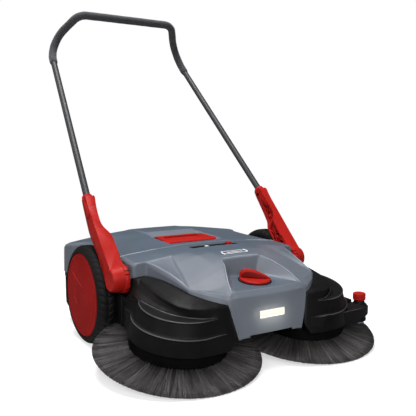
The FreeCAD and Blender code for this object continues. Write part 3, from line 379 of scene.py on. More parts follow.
def weight_normals(obj):
    return add_modifier(obj, "WEIGHTED_NORMAL", keep_sharp=False, weight=80)


def round_edges(obj, width, segments, angle):
    if width:
        bake(weight_normals(bevel_edges(obj, width, segments, angle)))
    return obj


def boolean(obj, tool, operation="DIFFERENCE", keep_tool=False):
    bake(add_modifier(obj, "BOOLEAN", operation=operation, object=tool, solver="EXACT"))
    if not keep_tool:
        bpy.data.objects.remove(tool)


def join(name, objects):
    """one object from several; materials are kept"""
    bm = bmesh.new()
    mats = []
    for obj in objects:
        for mat in obj.data.materials:
            if mat not in mats:
                mats.append(mat)
        slots = np.array([mats.index(mat) for mat in obj.data.materials])
        part = obj.data.copy()
        used = np.zeros(len(part.polygons), int)
        part.polygons.foreach_get("material_index", used)
        used = slots[np.clip(used, 0, len(slots) - 1)]
        part.polygons.foreach_set("material_index", used.tolist())
        bm.from_mesh(part)
        bpy.data.meshes.remove(part)
    mesh = bpy.data.meshes.new(name)
    bm.to_mesh(mesh)
    bm.free()
    for mat in mats:
        mesh.materials.append(mat)
    for obj in objects:
        bpy.data.objects.remove(obj)
    return add_object(name, mesh)


def grid(name, rows, mat, mirror=False, flip=False, cap=False):
    """a sheet through rows of points; mirror adds the -X half, cap closes the first row"""
    if mirror:
        rows = [[(-x, y, z) for x, y, z in reversed(row[1:])] + list(row) for row in rows]
    width = len(rows[0])
    faces = []
    for i in range(len(rows) - 1):
        for j in range(width - 1):
            a, b = i * width + j, (i + 1) * width + j
            face = [a, a + 1, b + 1, b]
            faces.append(face[::-1] if flip else face)
    if cap:
        faces.append(list(range(width))[::-1])
    return make(name, [point for row in rows for point in row], faces, mat)


def revolve(name, profile, mat, origin=(0, 0, 0), axis="X", n=96, mod=None, matrix=None):
    """turns (along, radius) pairs round X or Z; mod(k, n, along, radius) reshapes the radius"""
    if matrix is None:
        matrix = Matrix.Translation(origin)
    verts, faces = [], []
    count = len(profile)
    for k in range(n):
        angle = 2 * math.pi * k / n
        for offset, radius in profile:
            if mod:
                radius = mod(k, n, offset, radius)
            u, v = radius * math.cos(angle), radius * math.sin(angle)
            point = (offset, u, v) if axis == "X" else (u, v, offset)
            verts.append(tuple(matrix @ Vector(point)))
        a, b = k * count, (k + 1) % n * count
        faces += [[a + i, a + i + 1, b + i + 1, b + i] for i in range(count - 1)]
    return tidy(make(name, verts, faces, mat))


def rounded(pts, radius, seg=4):
    """an open 2-D profile with its inner corners rounded"""
    out = [pts[0]]
    for before, here, after in zip(pts, pts[1:], pts[2:]):
        corner = Vector(here)
        back, ahead = Vector(before) - corner, Vector(after) - corner
        reach = min(radius, back.length * 0.45, ahead.length * 0.45)
        start, end = corner + back.normalized() * reach, corner + ahead.normalized() * reach
        for k in range(seg + 1):
            t = k / seg
            out.append(tuple(start * (1 - t) ** 2 + corner * 2 * t * (1 - t) + end * t * t))
    return out + [pts[-1]]


def box(name, x_span, y_span, z_span, mat, bevel=0.0, seg=3):
    verts = [(x, y, z) for z in z_span for y in y_span for x in x_span]
    faces = [[0, 2, 3, 1], [4, 5, 7, 6], [0, 1, 5, 4], [2, 6, 7, 3], [0, 4, 6, 2], [1, 3, 7, 5]]
    return round_edges(tidy(make(name, verts, faces, mat)), bevel, seg, 20)


def block(name, bottom, top, mat, bevel=0.0, seg=3):
    """a solid between two outlines with matching points"""
    n = len(bottom)
    faces = [list(range(n))[::-1], list(range(n, 2 * n))]
    faces += [[i, (i + 1) % n, n + (i + 1) % n, n + i] for i in range(n)]
    return round_edges(tidy(make(name, bottom + top, faces, mat)), bevel, seg, 25)


def prism(name, pts, push, mat, bevel=0.0, seg=3):
    """a flat outline pushed along a vector"""
    top = [tuple(Vector(p) + Vector(push)) for p in pts]
    return block(name, [tuple(p) for p in pts], top, mat, bevel, seg)


def side_prism(name, x, length, outline, mat, bevel=0.0, seg=3):
    """a (y, z) outline at x, pushed along X"""
    return prism(name, [(x, y, z) for y, z in outline], (length, 0, 0), mat, bevel, seg)


def sweep(name, pts, radius, mat, n):
    """a closed tube along a path; radius(i, count, angle) gives its radius at each point"""
    path = [Vector(p) for p in pts]
    m = len(path)
    tangents = [(path[min(i + 1, m - 1)] - path[max(i - 1, 0)]).normalized() for i in range(m)]
    up = Vector((0, 0, 1)) if abs(tangents[0].z) < 0.9 else Vector((1, 0, 0))
    across = tangents[0].cross(up).normalized()
    verts, faces = [], []
    for i, tangent in enumerate(tangents):
        across = (across - tangent * across.dot(tangent)).normalized()
        other = tangent.cross(across)
        for k in range(n):
            angle = 2 * math.pi * k / n
            r = radius(i, m, angle)
            verts.append(tuple(path[i] + across * math.cos(angle) * r
                               + other * math.sin(angle) * r))
    for i in range(m - 1):
        a, b = i * n, (i + 1) * n
        faces += [[a + k, a + (k + 1) % n, b + (k + 1) % n, b + k] for k in range(n)]
    faces.append(list(range(n))[::-1])
    faces.append([(m - 1) * n + k for k in range(n)])
    return tidy(make(name, verts, faces, mat))


def taper(radius, end, run):
    """a sweep radius that starts at the fraction `end` and gains 1 / run of it per point"""
    return lambda i, m, angle: radius * min(1.0, end + min(i, m - 1 - i) / run)


def densify(pts, steps):
    out = []
    for a, b in zip(pts[:-1], pts[1:]):
        out += [tuple(Vector(a).lerp(Vector(b), k / steps)) for k in range(steps)]
    return out + [tuple(pts[-1])]


def point_along(line, t):
    """the point at the fraction t of a polyline's length"""
    lengths = [(Vector(b) - Vector(a)).length for a, b in zip(line, line[1:])]
    left = t * sum(lengths)
    for i, length in enumerate(lengths):
        if left <= length or i == len(lengths) - 1:
            return tuple(Vector(line[i]).lerp(Vector(line[i + 1]), min(1.0, left / length)))
        left -= length


def coords_of(mesh):
    coords = np.zeros(len(mesh.vertices) * 3)
    mesh.vertices.foreach_get("co", coords)
    return coords.reshape(-1, 3)


def mirror_x(obj, name):
    mesh = obj.data.copy()
    coords = coords_of(mesh)
    coords[:, 0] *= -1
    mesh.vertices.foreach_set("co", coords.ravel())
    mesh.flip_normals()
    mesh.name = name
    return add_object(name, mesh)


def side_span(side, near, far):
    return sorted((side * near, side * far))


def disc_point(angle, radius, height, lowest=0.0):
    """a point round the left disc brush's axis: angle 0 in front, 90 degrees on the outer side"""
    turned = Vector((radius * math.sin(angle), -radius * math.cos(angle), height))
    turned = DISC_TILT @ turned
    return (DISC.x + turned.x, DISC.y + turned.y, max(lowest, DISC.z + turned.z))


def place(obj, body, slot, *nodes):
    """ties an object to its moving body and hides the CAD nodes it stands for; slot is not used"""
    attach(obj, body)
    if nodes:
        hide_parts(*nodes)


def place_pair(obj, right_name, body, slot, *nodes):
    """places a left piece and its mirror image; body and nodes are named for the left"""
    right = mirror_x(obj, right_name)
    place(obj, body, slot, *nodes)
    place(right, body.replace("left", "right"), slot,
          *[node.replace("left", "right") for node in nodes])


# ---------------------------------------------------------------- front hood
# (x, y, z) points of the left half: each row runs from the middle out to the side edge,
# and the rows run from the seam at the container forwards and down the nose
HOOD = [
    [(0,-101,259), (40.8,-101,258.32), (50.4,-101,258.16), (60,-101,258), (103,-101,256),
     (143,-101,253.5), (193,-101,249), (237,-101,244.5), (247,-101,242.5), (251,-101,237),
     (251.5,-101,178)],
    [(0,-150,260), (40.8,-150,259.32), (50.4,-150,259.16), (60,-150,259), (103,-150,257),
     (145,-150,253.5), (193,-150,248), (236,-150,242.5), (247,-150,240.5), (251.5,-150,234),
     (252,-150,186)],
    [(0,-178,260), (40.8,-178.68,259.32), (50.4,-178.84,259.16), (60,-179,259),
     (103,-180,256.5), (147,-181,251), (191,-181,245), (234,-180,240), (246,-179,238),
     (251.5,-178,232), (252,-178,202)],
    [(0,-184,260), (40.8,-184.68,259.32), (50.4,-184.84,259.16), (60,-185,259),
     (103,-187,256.3), (148,-188,250), (190,-187,244.2), (228,-185,240), (240,-184,237.5),
     (246,-184,231), (247,-184,203.5)],
    [(0,-190,260), (40.8,-191.36,259.18), (50.4,-191.68,258.99), (60,-192,258.8),
     (103,-195,256), (150,-195,248.5), (185,-191,243), (214,-188,239), (216,-188,237),
     (217,-187,230), (217,-187,204)],
    [(0,-225,258), (40.12,-228.4,257.32), (49.56,-229.2,257.16), (59,-230,257.3),
     (98,-235,252.6), (160,-232,237), (182,-222,235), (205,-220,234), (208,-220,232),
     (210,-220,224), (209,-220,204.5)],
    [(0,-255,254), (40.12,-259.76,252.98), (49.56,-260.88,252.74), (59,-262,251.2),
     (94,-268,245.2), (168,-268,225.1), (185,-258,225), (198,-253,227.5), (201,-252,226),
     (204,-252,218), (203,-252,203)],
    [(0,-278,248.5), (38.76,-279.36,248.16), (47.88,-279.68,248.08), (57,-280,247.9),
     (92,-292,239.3), (175,-298,215.1), (184,-292,214), (191,-290,217.5), (194,-290,216),
     (196,-290,209), (195,-290,198)],
    [(0,-283,245.5), (41.48,-285.04,245.5), (51.24,-285.52,245.5), (61,-286,246.1),
     (91,-300,237.3), (179,-315,209.1), (184,-313,208.3), (187,-314,210), (190,-315,208),
     (192,-316,202), (191,-318,194)],
    [(0,-293,203), (42,-294,203), (46,-297,207), (70,-314,237.2), (105,-328,224.6),
     (180,-336,201.8), (182.5,-337.5,201.75), (185,-339,200.5), (186.25,-340,198.75),
     (187.5,-341,197), (187,-343,190)],
    [(0,-325,199.8), (54,-325,199.8), (60,-326,204), (84,-342,223.8), (115,-353,211.1),
     (166,-352,199), (168.5,-353,198.75), (171,-354,197.5), (173,-354.5,195.25),
     (175,-355,193), (176,-356,184)],
    [(0,-360,196.3), (74,-360,196.3), (80,-362,200), (95,-367,208.6), (121,-371,199.9),
     (146,-367,196.2), (148.5,-368,193.25), (151,-369,192), (153.5,-370.5,189.5),
     (156,-372,187), (158,-373,176)],
    [(0,-388,193.5), (92,-388,193.5), (95,-388,194.5), (100,-385,196.1), (106,-385.4,193.4),
     (115.5,-386,189.8), (119,-386.6,187.9), (122,-387,187), (126,-388,184), (130,-389,181),
     (134,-390,169)],
    [(0,-400.5,191.9), (90,-395,191.9), (97,-393.4,190.9), (103,-393.6,188.7), (106,-395,187),
     (109,-396.5,184), (110.5,-397,182), (112,-397.5,180), (113.5,-397.75,177.5),
     (115,-398,175), (116.5,-398,165)],
    [(0,-409.8,179.5), (60,-407.2,179.5), (92,-403.6,179.5), (101,-401.2,178.6),
     (105,-400.2,177.6), (107.5,-400,177), (109,-400,175), (110.5,-400,173),
     (111.75,-400,171), (113,-400,169), (115,-400,159)],
    [(0,-412,160), (55,-410,160), (85,-406,160), (98,-404,160), (102,-403.5,160),
     (105,-403,160), (106.5,-403,160), (108,-403,160), (109.25,-402.75,159.5),
     (110.5,-402.5,159), (112.5,-402,153)],
    [(0,-412.5,128), (50,-411.5,128), (76,-409.5,128), (91,-408,128), (96,-407.5,128),
     (99,-407,128), (100.5,-407,128), (102,-407,128), (103.25,-406.75,127.5),
     (104.5,-406.5,127), (106.5,-406,124)],
    [(0,-413,84), (40,-412.5,84), (60,-412,84), (72,-411.5,84), (80,-411,83.5),
     (85,-410.5,83), (86.5,-410.5,82.75), (88,-410.5,82.5), (89.5,-410.5,82.25),
     (91,-410.5,82), (94,-410,82)],
]
# a narrow step beside the main facet, per row: x and z shifts of the facet's edge point,
# then x and z offsets from that edge to the extra point
FACET_STEP = {
    3: (0.0, 0.0, 5.0, -1.2), 4: (-2.0, 0.7, 2.5, -3.4), 5: (-4.0, 1.0, 2.6, -6.2),
    6: (-4.5, 1.2, 2.8, -6.4), 7: (-4.0, 1.1, 2.8, -6.0), 8: (-4.5, 1.2, 2.6, -4.6),
    9: (0.0, 0.0, 1.4, -0.9),
}
for k, row in enumerate(HOOD):
    (x, y, z), (next_x, next_y, next_z) = row[5], row[6]
    if k in FACET_STEP:
        edge_x, edge_z, step_x, step_z = FACET_STEP[k]
        row[5] = (x + edge_x, y, z + edge_z)
        row.insert(6, (x + step_x, y, z + step_z))
    else:
        t = 0.12 if k < 3 else 0.4
        row.insert(6, (x + (next_x - x) * t, y + (next_y - y) * t, z + (next_z - z) * t))

SHELL_WALL = 2.6


def window(x_half, y_span, z_span, bevel):
    """a cutter centred on x = 0"""
    return box("cutter", (-x_half, x_half), y_span, z_span, "gap_shade_black", bevel)


def build_hood():
    hood = grid("hood_shell", HOOD, "grey_shell", mirror=True, flip=True)
    crease_edges(hood, low=4.0, high=13.0, value=0.97, floor=0.55)
    bake(subdivide(hood, 3))
    bake(thicken(hood, SHELL_WALL))
    boolean(hood, window(63, (-430, -395), (60, 88.5), 1.5))          # front opening
    boolean(hood, window(73, (-168.5, -138.5), (235, 280), 2.0))      # slider slot
    boolean(hood, window(36.6, (-430, -400), (124.6, 143.4), 1.5))    # lamp
    hole = revolve("cutter", [(225, 0), (225, 14.6), (262, 14.6), (262, 0)], "gap_shade_black",
                   (0, HUB.y, HUB.z), n=48)
    right_hole = mirror_x(hole, "cutter_right")
    boolean(hood, hole)
    boolean(hood, right_hole)
    place(bake(weight_normals(hood)), "chassis", "grey_shell", "front_hood")


def highlight_line(pts, radius, run=4.0, side=1, dy=0.0, dz=0.1):
    """a fine pale line along hood points: a painted highlight along an edge that catches the light"""
    line = densify([(side * x, y + dy, z + dz) for x, y, z in pts], 4)
    return sweep("highlight_line", line, taper(radius, 0.2, run), "edge_highlight", n=8)


def build_hood_lines():
    highlight_lines = []
    # pale lines along the seam, the recess edges and a side ridge: painted highlights
    for side in (1, -1):
        highlight_lines.append(highlight_line(HOOD[0][5:12], 0.95, run=7.0, side=side, dy=1.2, dz=0.05))
        highlight_lines.append(highlight_line([row[3] for row in HOOD[8:14]], 0.8, side=side))
        highlight_lines.append(highlight_line([row[8] for row in HOOD[4:10]], 0.5, side=side, dz=0.0))
    across = [(-x, y, z) for x, y, z in HOOD[7][:4][::-1]] + HOOD[7][1:4]
    highlight_lines.append(highlight_line(across, 0.75))
    place(join("hood_highlight_lines", highlight_lines), "chassis", "grey_shell")


def build_slot():
    """the recessed floor of the slider slot, with scale marks and a white index; the floor is near-black as
    painted shade
    """
    floor = box("slot_floor", (-74, 74), (-170, -137), (252.5, 254.5), "gap_shade_black", 0.5)
    place(floor, "chassis", "black_plastic")
    marks = []
    for i in range(9):
        x = -60 + i * 15
        end = -163.5 + (3 if i % 4 == 0 else 0)
        marks.append(box("mark", (x - 0.7, x + 0.7), (-166.5, end), (254.3, 254.9), "badge"))
    marks.append(box("index", (-26, -16), (-156, -150), (254.3, 259.5), "white_plastic", 0.8))
    place(join("slot_marks", marks), "chassis", "badge")


def build_slider():
    x = 49
    parts = [
        box("knob", (x - 7, x + 7), (-161, -145), (255.5, 263.4), "red", 2.0, 4),
        box("stem", (x - 2.5, x + 2.5), (-160, -146), (246, 257), "red", 0.6),
        box("foot", (x - 12, x + 12), (-167.6, -138.6), (245.5, 248.5), "black_plastic", 0.6),
    ]
    for i in range(5):
        span = (x - 5.4 + i * 2.4, x - 4.2 + i * 2.4)
        parts.append(box("rib", span, (-159, -147), (263.0, 264.0), "red", 0.4))
    place(join("slider", parts), "slider", "red", "height_slider")


def build_lamp():
    bezel = box("bezel", (-36.2, 36.2), (-413.9, -398.6), (125.0, 143.0), "white_plastic", 1.2)
    boolean(bezel, window(33.0, (-430, -401), (127.8, 140.2), 1.0))
    place(bake(weight_normals(bezel)), "chassis", "white_plastic", "lamp_bezel")
    rows = []
    for i in range(9):
        v = -1 + 2 * i / 8
        row = []
        for j in range(25):
            u = -1 + 2 * j / 24
            row.append((32.8 * u, -412.2 - 1.3 * (1 - v * v) * (1 - u ** 4), 134 + 6.0 * v))
        rows.append(row)
    lens = bake(thicken(grid("lens", rows, "lamp"), 1.6))
    place(lens, "chassis", "lamp", "lamp_lens")


def hexagon(shrink):
    """the badge outline on the sloping hood, drawn in by a fraction"""
    middle = -254
    out = []
    for x, y in [(-36, -245), (36, -245), (40, -254), (36, -263), (-36, -263), (-40, -254)]:
        y = middle + (y - middle) * (1 - shrink * 1.3)
        out.append((math.copysign(abs(x) - shrink * 30, x), y, 254.4 + 0.2 * (y + 255)))
    return out


def build_badge():
    """a blank hexagonal plate with a raised border and a bar in the middle"""
    outline = hexagon(0.0) + hexagon(0.14)
    verts = [(x, y - 0.2 * lift, z + lift) for lift in (0.0, 1.7) for x, y, z in outline]
    faces = []
    for k in range(6):
        j = (k + 1) % 6
        faces += [[k, j, 12 + j, 12 + k], [6 + j, 6 + k, 18 + k, 18 + j],
                  [12 + k, 12 + j, 18 + j, 18 + k], [j, k, 6 + k, 6 + j]]
    border = tidy(make("border", verts, faces, "badge"))
    bake(bevel_edges(border, 0.35, 2, 25))
    field = prism("field", hexagon(0.10), (0, -0.16, 0.9), "badge_field", 0.2)
    bar = [(-24, -252.4, 255.2), (24, -252.4, 255.2), (24, -255.6, 254.6), (-24, -255.6, 254.6)]
    bar = prism("bar", bar, (0, -0.1, 0.7), "badge", 0.2)
    place(join("badge", [border, field, bar]), "chassis", "badge", "badge_plate")


build_hood()
build_hood_lines()
build_slot()
build_slider()
build_lamp()
build_badge()

# ---------------------------------------------------------------- height dial
# stations along the grip: (x, half width, bottom, top)
GRIP_STATIONS = [
    (-38.5, 0.5, 6, 9), (-37.8, 4.2, 5, 17), (-35, 6.6, 4.6, 23.5), (-29, 7.8, 4.4, 27.4),
    (-20, 8.2, 4.2, 28.8), (-9, 8.2, 4.2, 27.8), (2, 8.0, 4.2, 25.0), (14, 7.4, 4.4, 20.6),
    (25, 6.2, 4.8, 15.8), (33, 4.2, 5.2, 11.6), (37, 2.2, 5.8, 9.2), (38.4, 0.4, 6.6, 7.8),
]
GRIP_TURN = math.radians(-36)
PINCH = 0.34           # how far the grip's sides lean in towards the top


def dial_grip():
    """a teardrop grip with flat sides, tall at one end"""
    rows = []
    for x, half_width, bottom, top in GRIP_STATIONS:
        row = []
        for k in range(13):
            angle = math.pi * k / 12
            across, up = math.cos(angle), math.sin(angle)
            y = half_width * math.copysign(abs(across) ** 0.42, across) * (1.0 - PINCH * up)
            row.append((x, y, bottom - 2.5 + (top - bottom + 2.5) * up ** 0.5))
        rows.append(row)
    return bake(subdivide(tidy(grid("grip", rows, "red")), 2))


def grip_shade_panel(side):
    """a darker panel on one side of the grip: painted shade standing for a recessed face"""
    rows = []
    for x, half_width, _, top in GRIP_STATIONS[2:10]:
        rows.append([(x * 0.93,
                      side * (half_width * width * (1 - PINCH * height * height) + 0.30),
                      7.4 + (top - 7.4) * height * 0.94)
                     for height, width in ((0.0, 1.0), (0.45, 0.965), (0.80, 0.83))])
    return bake(thicken(subdivide(grid("inset", rows, "red_painted_shade"), 1), 0.35, 0.0))


def build_dial():
    foot = [(1.2, 0), (1.2, 37.6), (3.4, 38), (6.2, 36.5), (7.0, 33), (7.0, 0)]
    parts = [revolve("foot", rounded(foot, 1.2), "red", axis="Z", matrix=DIAL_MATRIX)]
    turn = Matrix.Translation(DIAL * MM) @ DIAL_TURN @ Matrix.Rotation(GRIP_TURN, 4, "Z")
    for part in (dial_grip(), grip_shade_panel(1), grip_shade_panel(-1)):
        part.data.transform(turn)
        parts.append(part)
    place(join("dial_knob", parts), "dial", "red", "height_dial")


def build_dial_marks():
    ticks = []
    push = tuple(DIAL_TURN.to_3x3() @ Vector((0, 0, 0.35)))
    for k in range(15):
        angle = math.radians(200 + 10 * k)
        out = Vector((math.cos(angle), math.sin(angle), 0))
        side = Vector((-math.sin(angle), math.cos(angle), 0))
        near, far = 44.5, 47.5 + (2.5 if k % 7 == 0 else 0.0)
        corners = [tuple(DIAL_MATRIX @ (out * r + side * w + Vector((0, 0, 0.15))))
                   for r, w in ((near, -0.5), (far, -0.5), (far, 0.5), (near, 0.5))]
        ticks.append(prism("tick", corners, push, "ridge_highlight_and_tick"))
    place(join("dial_marks", ticks), "chassis", "grey_shell")
    # a near-black ring round the dial's foot: painted shade in the gap
    seat = rounded([(0.2, 38.6), (0.2, 41.5), (1.0, 41.5), (1.0, 38.6)], 0.3, 2)
    seat = revolve("dial_seat", seat, "gap_shade_black", axis="Z", matrix=DIAL_MATRIX)
    place(seat, "chassis", "black_plastic")


build_dial()
build_dial_marks()

# ---------------------------------------------------------------- container
# stations from the hood seam backwards: (y, outer x, heights from the middle out, lower edge z)
COVER = [
    (-99, 251.5, [259.5, 258.5, 256.5, 254, 249.5, 245, 242.5, 237.5], 178),
    (-72, 252.3, [257.6, 257.0, 257.2, 254.8, 250, 245, 242.3, 237.3], 178),
    (-48, 253, [254.2, 253.8, 258.4, 255.4, 250.2, 245, 242.2, 237.3], 178),
    (-42, 253, [252.4, 252.2, 258.8, 255.6, 250.4, 245, 242.2, 237.3], 178),
    (-34, 253, [250.6, 250.6, 259.2, 255.8, 250.5, 245, 242.2, 237.3], 178),
    (0, 254, [251.5, 251.5, 260.8, 257, 251.2, 245.5, 242.6, 237.6], 178),
    (48, 255, [253.2, 253.2, 262.4, 258.5, 252, 246, 243, 238], 178),
    (56, 255.2, [254.5, 254.5, 263, 259, 252.3, 246.3, 243.3, 238.3], 178),
    (92, 256, [266.8, 266.8, 265.4, 261, 254, 247.3, 244, 239], 178),
    (99, 256.6, [268.8, 268.6, 265.9, 261.3, 254, 247.5, 244.2, 239.3], 178),
    (106, 257, [269.2, 269, 266.1, 261.6, 254.1, 247.6, 244.4, 239.5], 178),
    (134, 259, [269.4, 268.8, 266.3, 262, 254.8, 248, 244.8, 240], 176),
    (143, 263, [269.4, 268.8, 266.3, 262, 255, 247.6, 244.2, 239.5], 172),
    (152, 276, [269.3, 268.6, 266.2, 262, 255, 246.6, 242.6, 237.5], 158),
    (160, 283, [269, 268.2, 266, 262, 255, 245.5, 241, 236], 151),
    (178, 285.5, [268, 267.3, 265.3, 261.2, 254.2, 244, 239.6, 234.2], 150.5),
    (205, 286, [266, 265.3, 263.3, 259.2, 252.2, 241.5, 236.8, 231], 150.5),
    (232, 285, [261, 260.3, 258, 254, 247, 235.6, 230.4, 224.5], 150.5),
    (243, 282, [256, 255.2, 253, 249, 242, 230, 224.5, 218], 150.5),
    (248.5, 276, [247, 246.2, 244, 240, 233, 221, 215.5, 209], 150.5),
]
# (y, z) across the top of the carrying handle, front to back
CARRY_PROFILE = [
    (-41, 253.6), (-40.5, 255.4), (-38.5, 257.2), (-35, 258.6), (-29, 259.7), (-16, 260.6),
    (0, 261.4), (16, 261.9), (32, 262.1), (43, 262.0), (47, 261.6),
]


def build_cover():
    inner_xs = [0, 78, 88, 140, 193]
    rows = []
    for y, outer_x, heights, lower in COVER:
        xs = inner_xs + [outer_x - 17, outer_x - 5, outer_x]
        row = [(x, y, z) for x, z in zip(xs, heights)]
        flare = 0 if y < 150 else 1
        row.append((outer_x + flare, y, (heights[-1] + lower) / 2))
        row.append((outer_x + flare * 1.5, y, lower))
        rows.append(row)
    for z, back, corner_z in ((200, 2.0, 198), (151, 2.8, 151)):      # the rear wall
        rows.append([(x, 249.5 + back, z) for x in inner_xs + [255]]
                    + [(266, 248 + back, z), (273, 245 + back, z), (277, 242 + back, z - 1),
                       (279, 240 + back, corner_z)])
    cover = grid("container_top", rows, "grey_shell", mirror=True)
    crease_edges(cover, low=5.0, high=15.0, value=0.96, floor=0.5)
    bake(subdivide(cover, 3))
    bake(thicken(cover, SHELL_WALL))
    place(bake(weight_normals(cover)), "container", "grey_shell", "container_cover")


def build_carry_handle():
    """a domed plate with a finger slot, on two pins held by ears"""
    rows = []
    for y, z in CARRY_PROFILE:
        half = 83 - 6.5 * (y + 33) / 80
        rows.append([(-half + 2 * half * j / 20, y, z - 0.9 * (-1 + 2 * j / 20) ** 4)
                     for j in range(21)])
    plate = bake(thicken(grid("carry_plate", rows, "red"), 4.6))
    bake(bevel_edges(plate, 1.6, 4, 40))
    slot = [(-63, 4, 240), (63, 4, 240), (60, 25, 240), (-60, 25, 240)]
    boolean(plate, prism("cutter", slot, (0, 0, 40), "gap_shade_black", 3.0, 4))
    pin = revolve("pin", [(70, 0), (70, 1.9), (86.5, 1.9), (86.5, 0)], "red",
                  (0, -27, 257.6), n=24)
    handle = join("carry_handle", [plate, pin, mirror_x(pin, "pin_right")])
    place(bake(weight_normals(handle)), "carry_handle", "red", "container_handle")
    ears = [box("ear", side_span(side, 84.6, 88.4), (-31, -23), (250, 258.6), "grey_shell", 1.0)
            for side in (1, -1)]
    place(join("carry_hinge_ears", ears), "container", "grey_shell")


TUB_BOTTOM = 42.0


def tub_ring(z):
    """the tub's outline at a height: open in front, wider behind the wheels"""
    side, rear = (285.0, 250.0) if z < 138 else (286.0, 251.0)
    base = 6.0 if z <= TUB_BOTTOM else (2.0 if z <= 46 else 0.0)
    inset = base + max(0.0, (72 - z) / 30.0) * 3.0
    half = [(235.0 - inset, 16), (235.0 - inset, 143), (side - 4 - inset, 159),
            (side - inset, 164), (side - inset, rear - 22), (side - 5 - inset, rear - 8),
            (side - 17 - inset, rear - inset)]
    return [(-x, y, z) for x, y in half] + [(x, y, z) for x, y in reversed(half)]


def build_tub():
    """a black moulded box with ribs and latch lugs"""
    rings = [tub_ring(z) for z in (TUB_BOTTOM, 46.0, 58.0, 72.0, 100.0, 136.0, 140.0, 149.5)]
    tub = tidy(grid("dust_box", rings, "black_shell", cap=True))
    with editing(tub) as bm:            # the floor has to face down
        if any(abs(face.calc_center_median().z - TUB_BOTTOM * MM) < 1e-4 and face.normal.z > 0
               for face in bm.faces):
            bmesh.ops.reverse_faces(bm, faces=bm.faces)
    bake(thicken(tub, 3.0))
    parts = [round_edges(tub, 2.2, 3, 25)]
    for x in range(-210, 211, 70):
        parts.append(box("rib", (x - 2, x + 2), (249.2, 252.2), (52, 134), "black_shell", 1.0))
    lug = [(246, 158), (256, 156), (258, 146), (252, 138), (246, 136)]
    for side in (1, -1):
        for y in (180, 200, 220):
            parts.append(box("rib", side_span(side, 284, 286.6), (y - 1.6, y + 1.6), (56, 132),
                             "black_shell", 0.8))
        parts.append(side_prism("lug", side * 262, side * -34, lug, "black_shell", 1.6))
    place(join("dust_box", parts), "container", "black_shell", "dust_tub")
    ramp = [(16.4, 44), (34, 44.5), (24, 56), (18.4, 62), (16.4, 62)]
    ramp = side_prism("tub_ramp", -234, 468, ramp, "black_plastic", 1.0)
    place(ramp, "container", "black_plastic")


build_cover()
build_carry_handle()
build_tub()

# ---------------------------------------------------------------- brush guards
ARC = range(0, 121, 8)          # degrees round the disc brush, from the front to the outer side
# rows of the side wall, bottom to top: (radius, height along the disc axis,
# three points in front of the arc, three points behind it)
GUARD_WALL = [
    (122.3, 50.0, [(121,-415.5,64), (135,-417,63.8), (150,-417.5,63.7)],
     [(283,-205,92), (281,-194,95), (272,-173,98)]),
    (125, 50.6, [(121,-418.3,64.4), (135,-419.5,64.2), (150,-420,64.0)],
     [(285.5,-205,92.5), (283,-193,95.5), (273,-171,98.5)]),
    (124.6, 53.0, [(118.5,-418,68), (134,-419.3,67.5), (150,-419.8,67)],
     [(285.3,-205,95), (282.8,-193,98), (272.8,-171,101)]),
    (120.5, 72, [(98.5,-413.5,88.5), (128,-417,88), (149,-417.8,87)],
     [(284.3,-205,114), (281.5,-193,116), (271.8,-171,118)]),
    (117.0, 88.2, [(101.2,-411.6,102.6), (128,-415.6,103), (149,-416.2,103)],
     [(283.2,-206,130.5), (280.5,-193,131.5), (271,-171.5,132)]),
    (117.4, 89.6, [(101.6,-411.4,104), (128,-415.4,104.4), (149,-416.0,104.6)],
     [(283.4,-206,132), (280.6,-193,133), (271,-171.5,133.4)]),
    (117.0, 91.0, [(102.0,-411.2,105.4), (128,-415.2,105.8), (149,-415.6,106)],
     [(283.0,-206,133.4), (280.2,-193,134.4), (270.8,-171.5,134.8)]),
    (113.6, 92.2, [(102.3,-411.0,107), (128,-414.6,107.2), (149,-414.0,107.4)],
     [(279.0,-207,134.8), (277.0,-194,135.8), (269.8,-172.5,136.2)]),
    (107.0, 108, [(106.2,-408.2,122), (129,-411.5,122), (149,-411.0,122)],
     [(276.0,-211,148), (273.0,-196,147), (267.6,-175,147)]),
    (101.4, 122.6, [(110.0,-405.2,138), (130,-408.2,138.6), (149.5,-408.0,139)],
     [(273.5,-216,160), (270,-200,158.5), (265.2,-177,157)]),
    (101.6, 124.0, [(110.4,-404.9,139.4), (130,-408.0,139.9), (149.7,-408.0,140.4)],
     [(273.6,-216.5,161.6), (270,-200,160), (265.2,-177,158.4)]),
    (100.2, 125.2, [(110.8,-404.6,140.8), (130,-407.6,141.1), (149.9,-407.4,141.6)],
     [(271.5,-217,162.6), (268.5,-201,161), (264.4,-178,159.4)]),
]
# (x, y, z) lines above the wall, from the front backwards
LEDGE_LINE = [(173,-400,142), (188,-394.5,143.2), (207,-383,145), (225,-370,148),
              (240,-351,151), (253,-328,156), (263,-297,161), (269,-272,165.5),
              (272,-254,169), (272,-236,171)]
SHOULDER_LINE = [(160,-400.5,163.4), (178,-399,164), (210,-387,166), (229,-367,170),
                 (236,-343,175), (242,-307,181), (243,-247,193), (242,-222,198), (241,-200,202)]
INNER_LINE = [(158,-395,167.5), (176,-392,169), (204,-380,171.5), (220,-361,176),
              (226,-340,181), (232,-305,187), (234,-247,197.5), (234,-222,201.5),
              (234,-200,204)]
HOOD_LINE = [(147,-381,174), (164,-366,181), (180,-352,187.5), (188,-342,190.5),
             (194,-318,195.0), (199,-290,199.5), (206,-252,204.0), (212,-220,206),
             (216,-205,206.5)]
HEM_LINE = [(143,-380,171), (161,-364,178), (176,-350,184), (184,-341,187), (190,-318,191.5),
            (194,-290,196), (201,-252,200), (207,-220,202), (212,-205,203)]


def spread(line):
    """as many points along a line as there are on the arc"""
    return [point_along(line, i / (len(ARC) - 1)) for i in range(len(ARC))]


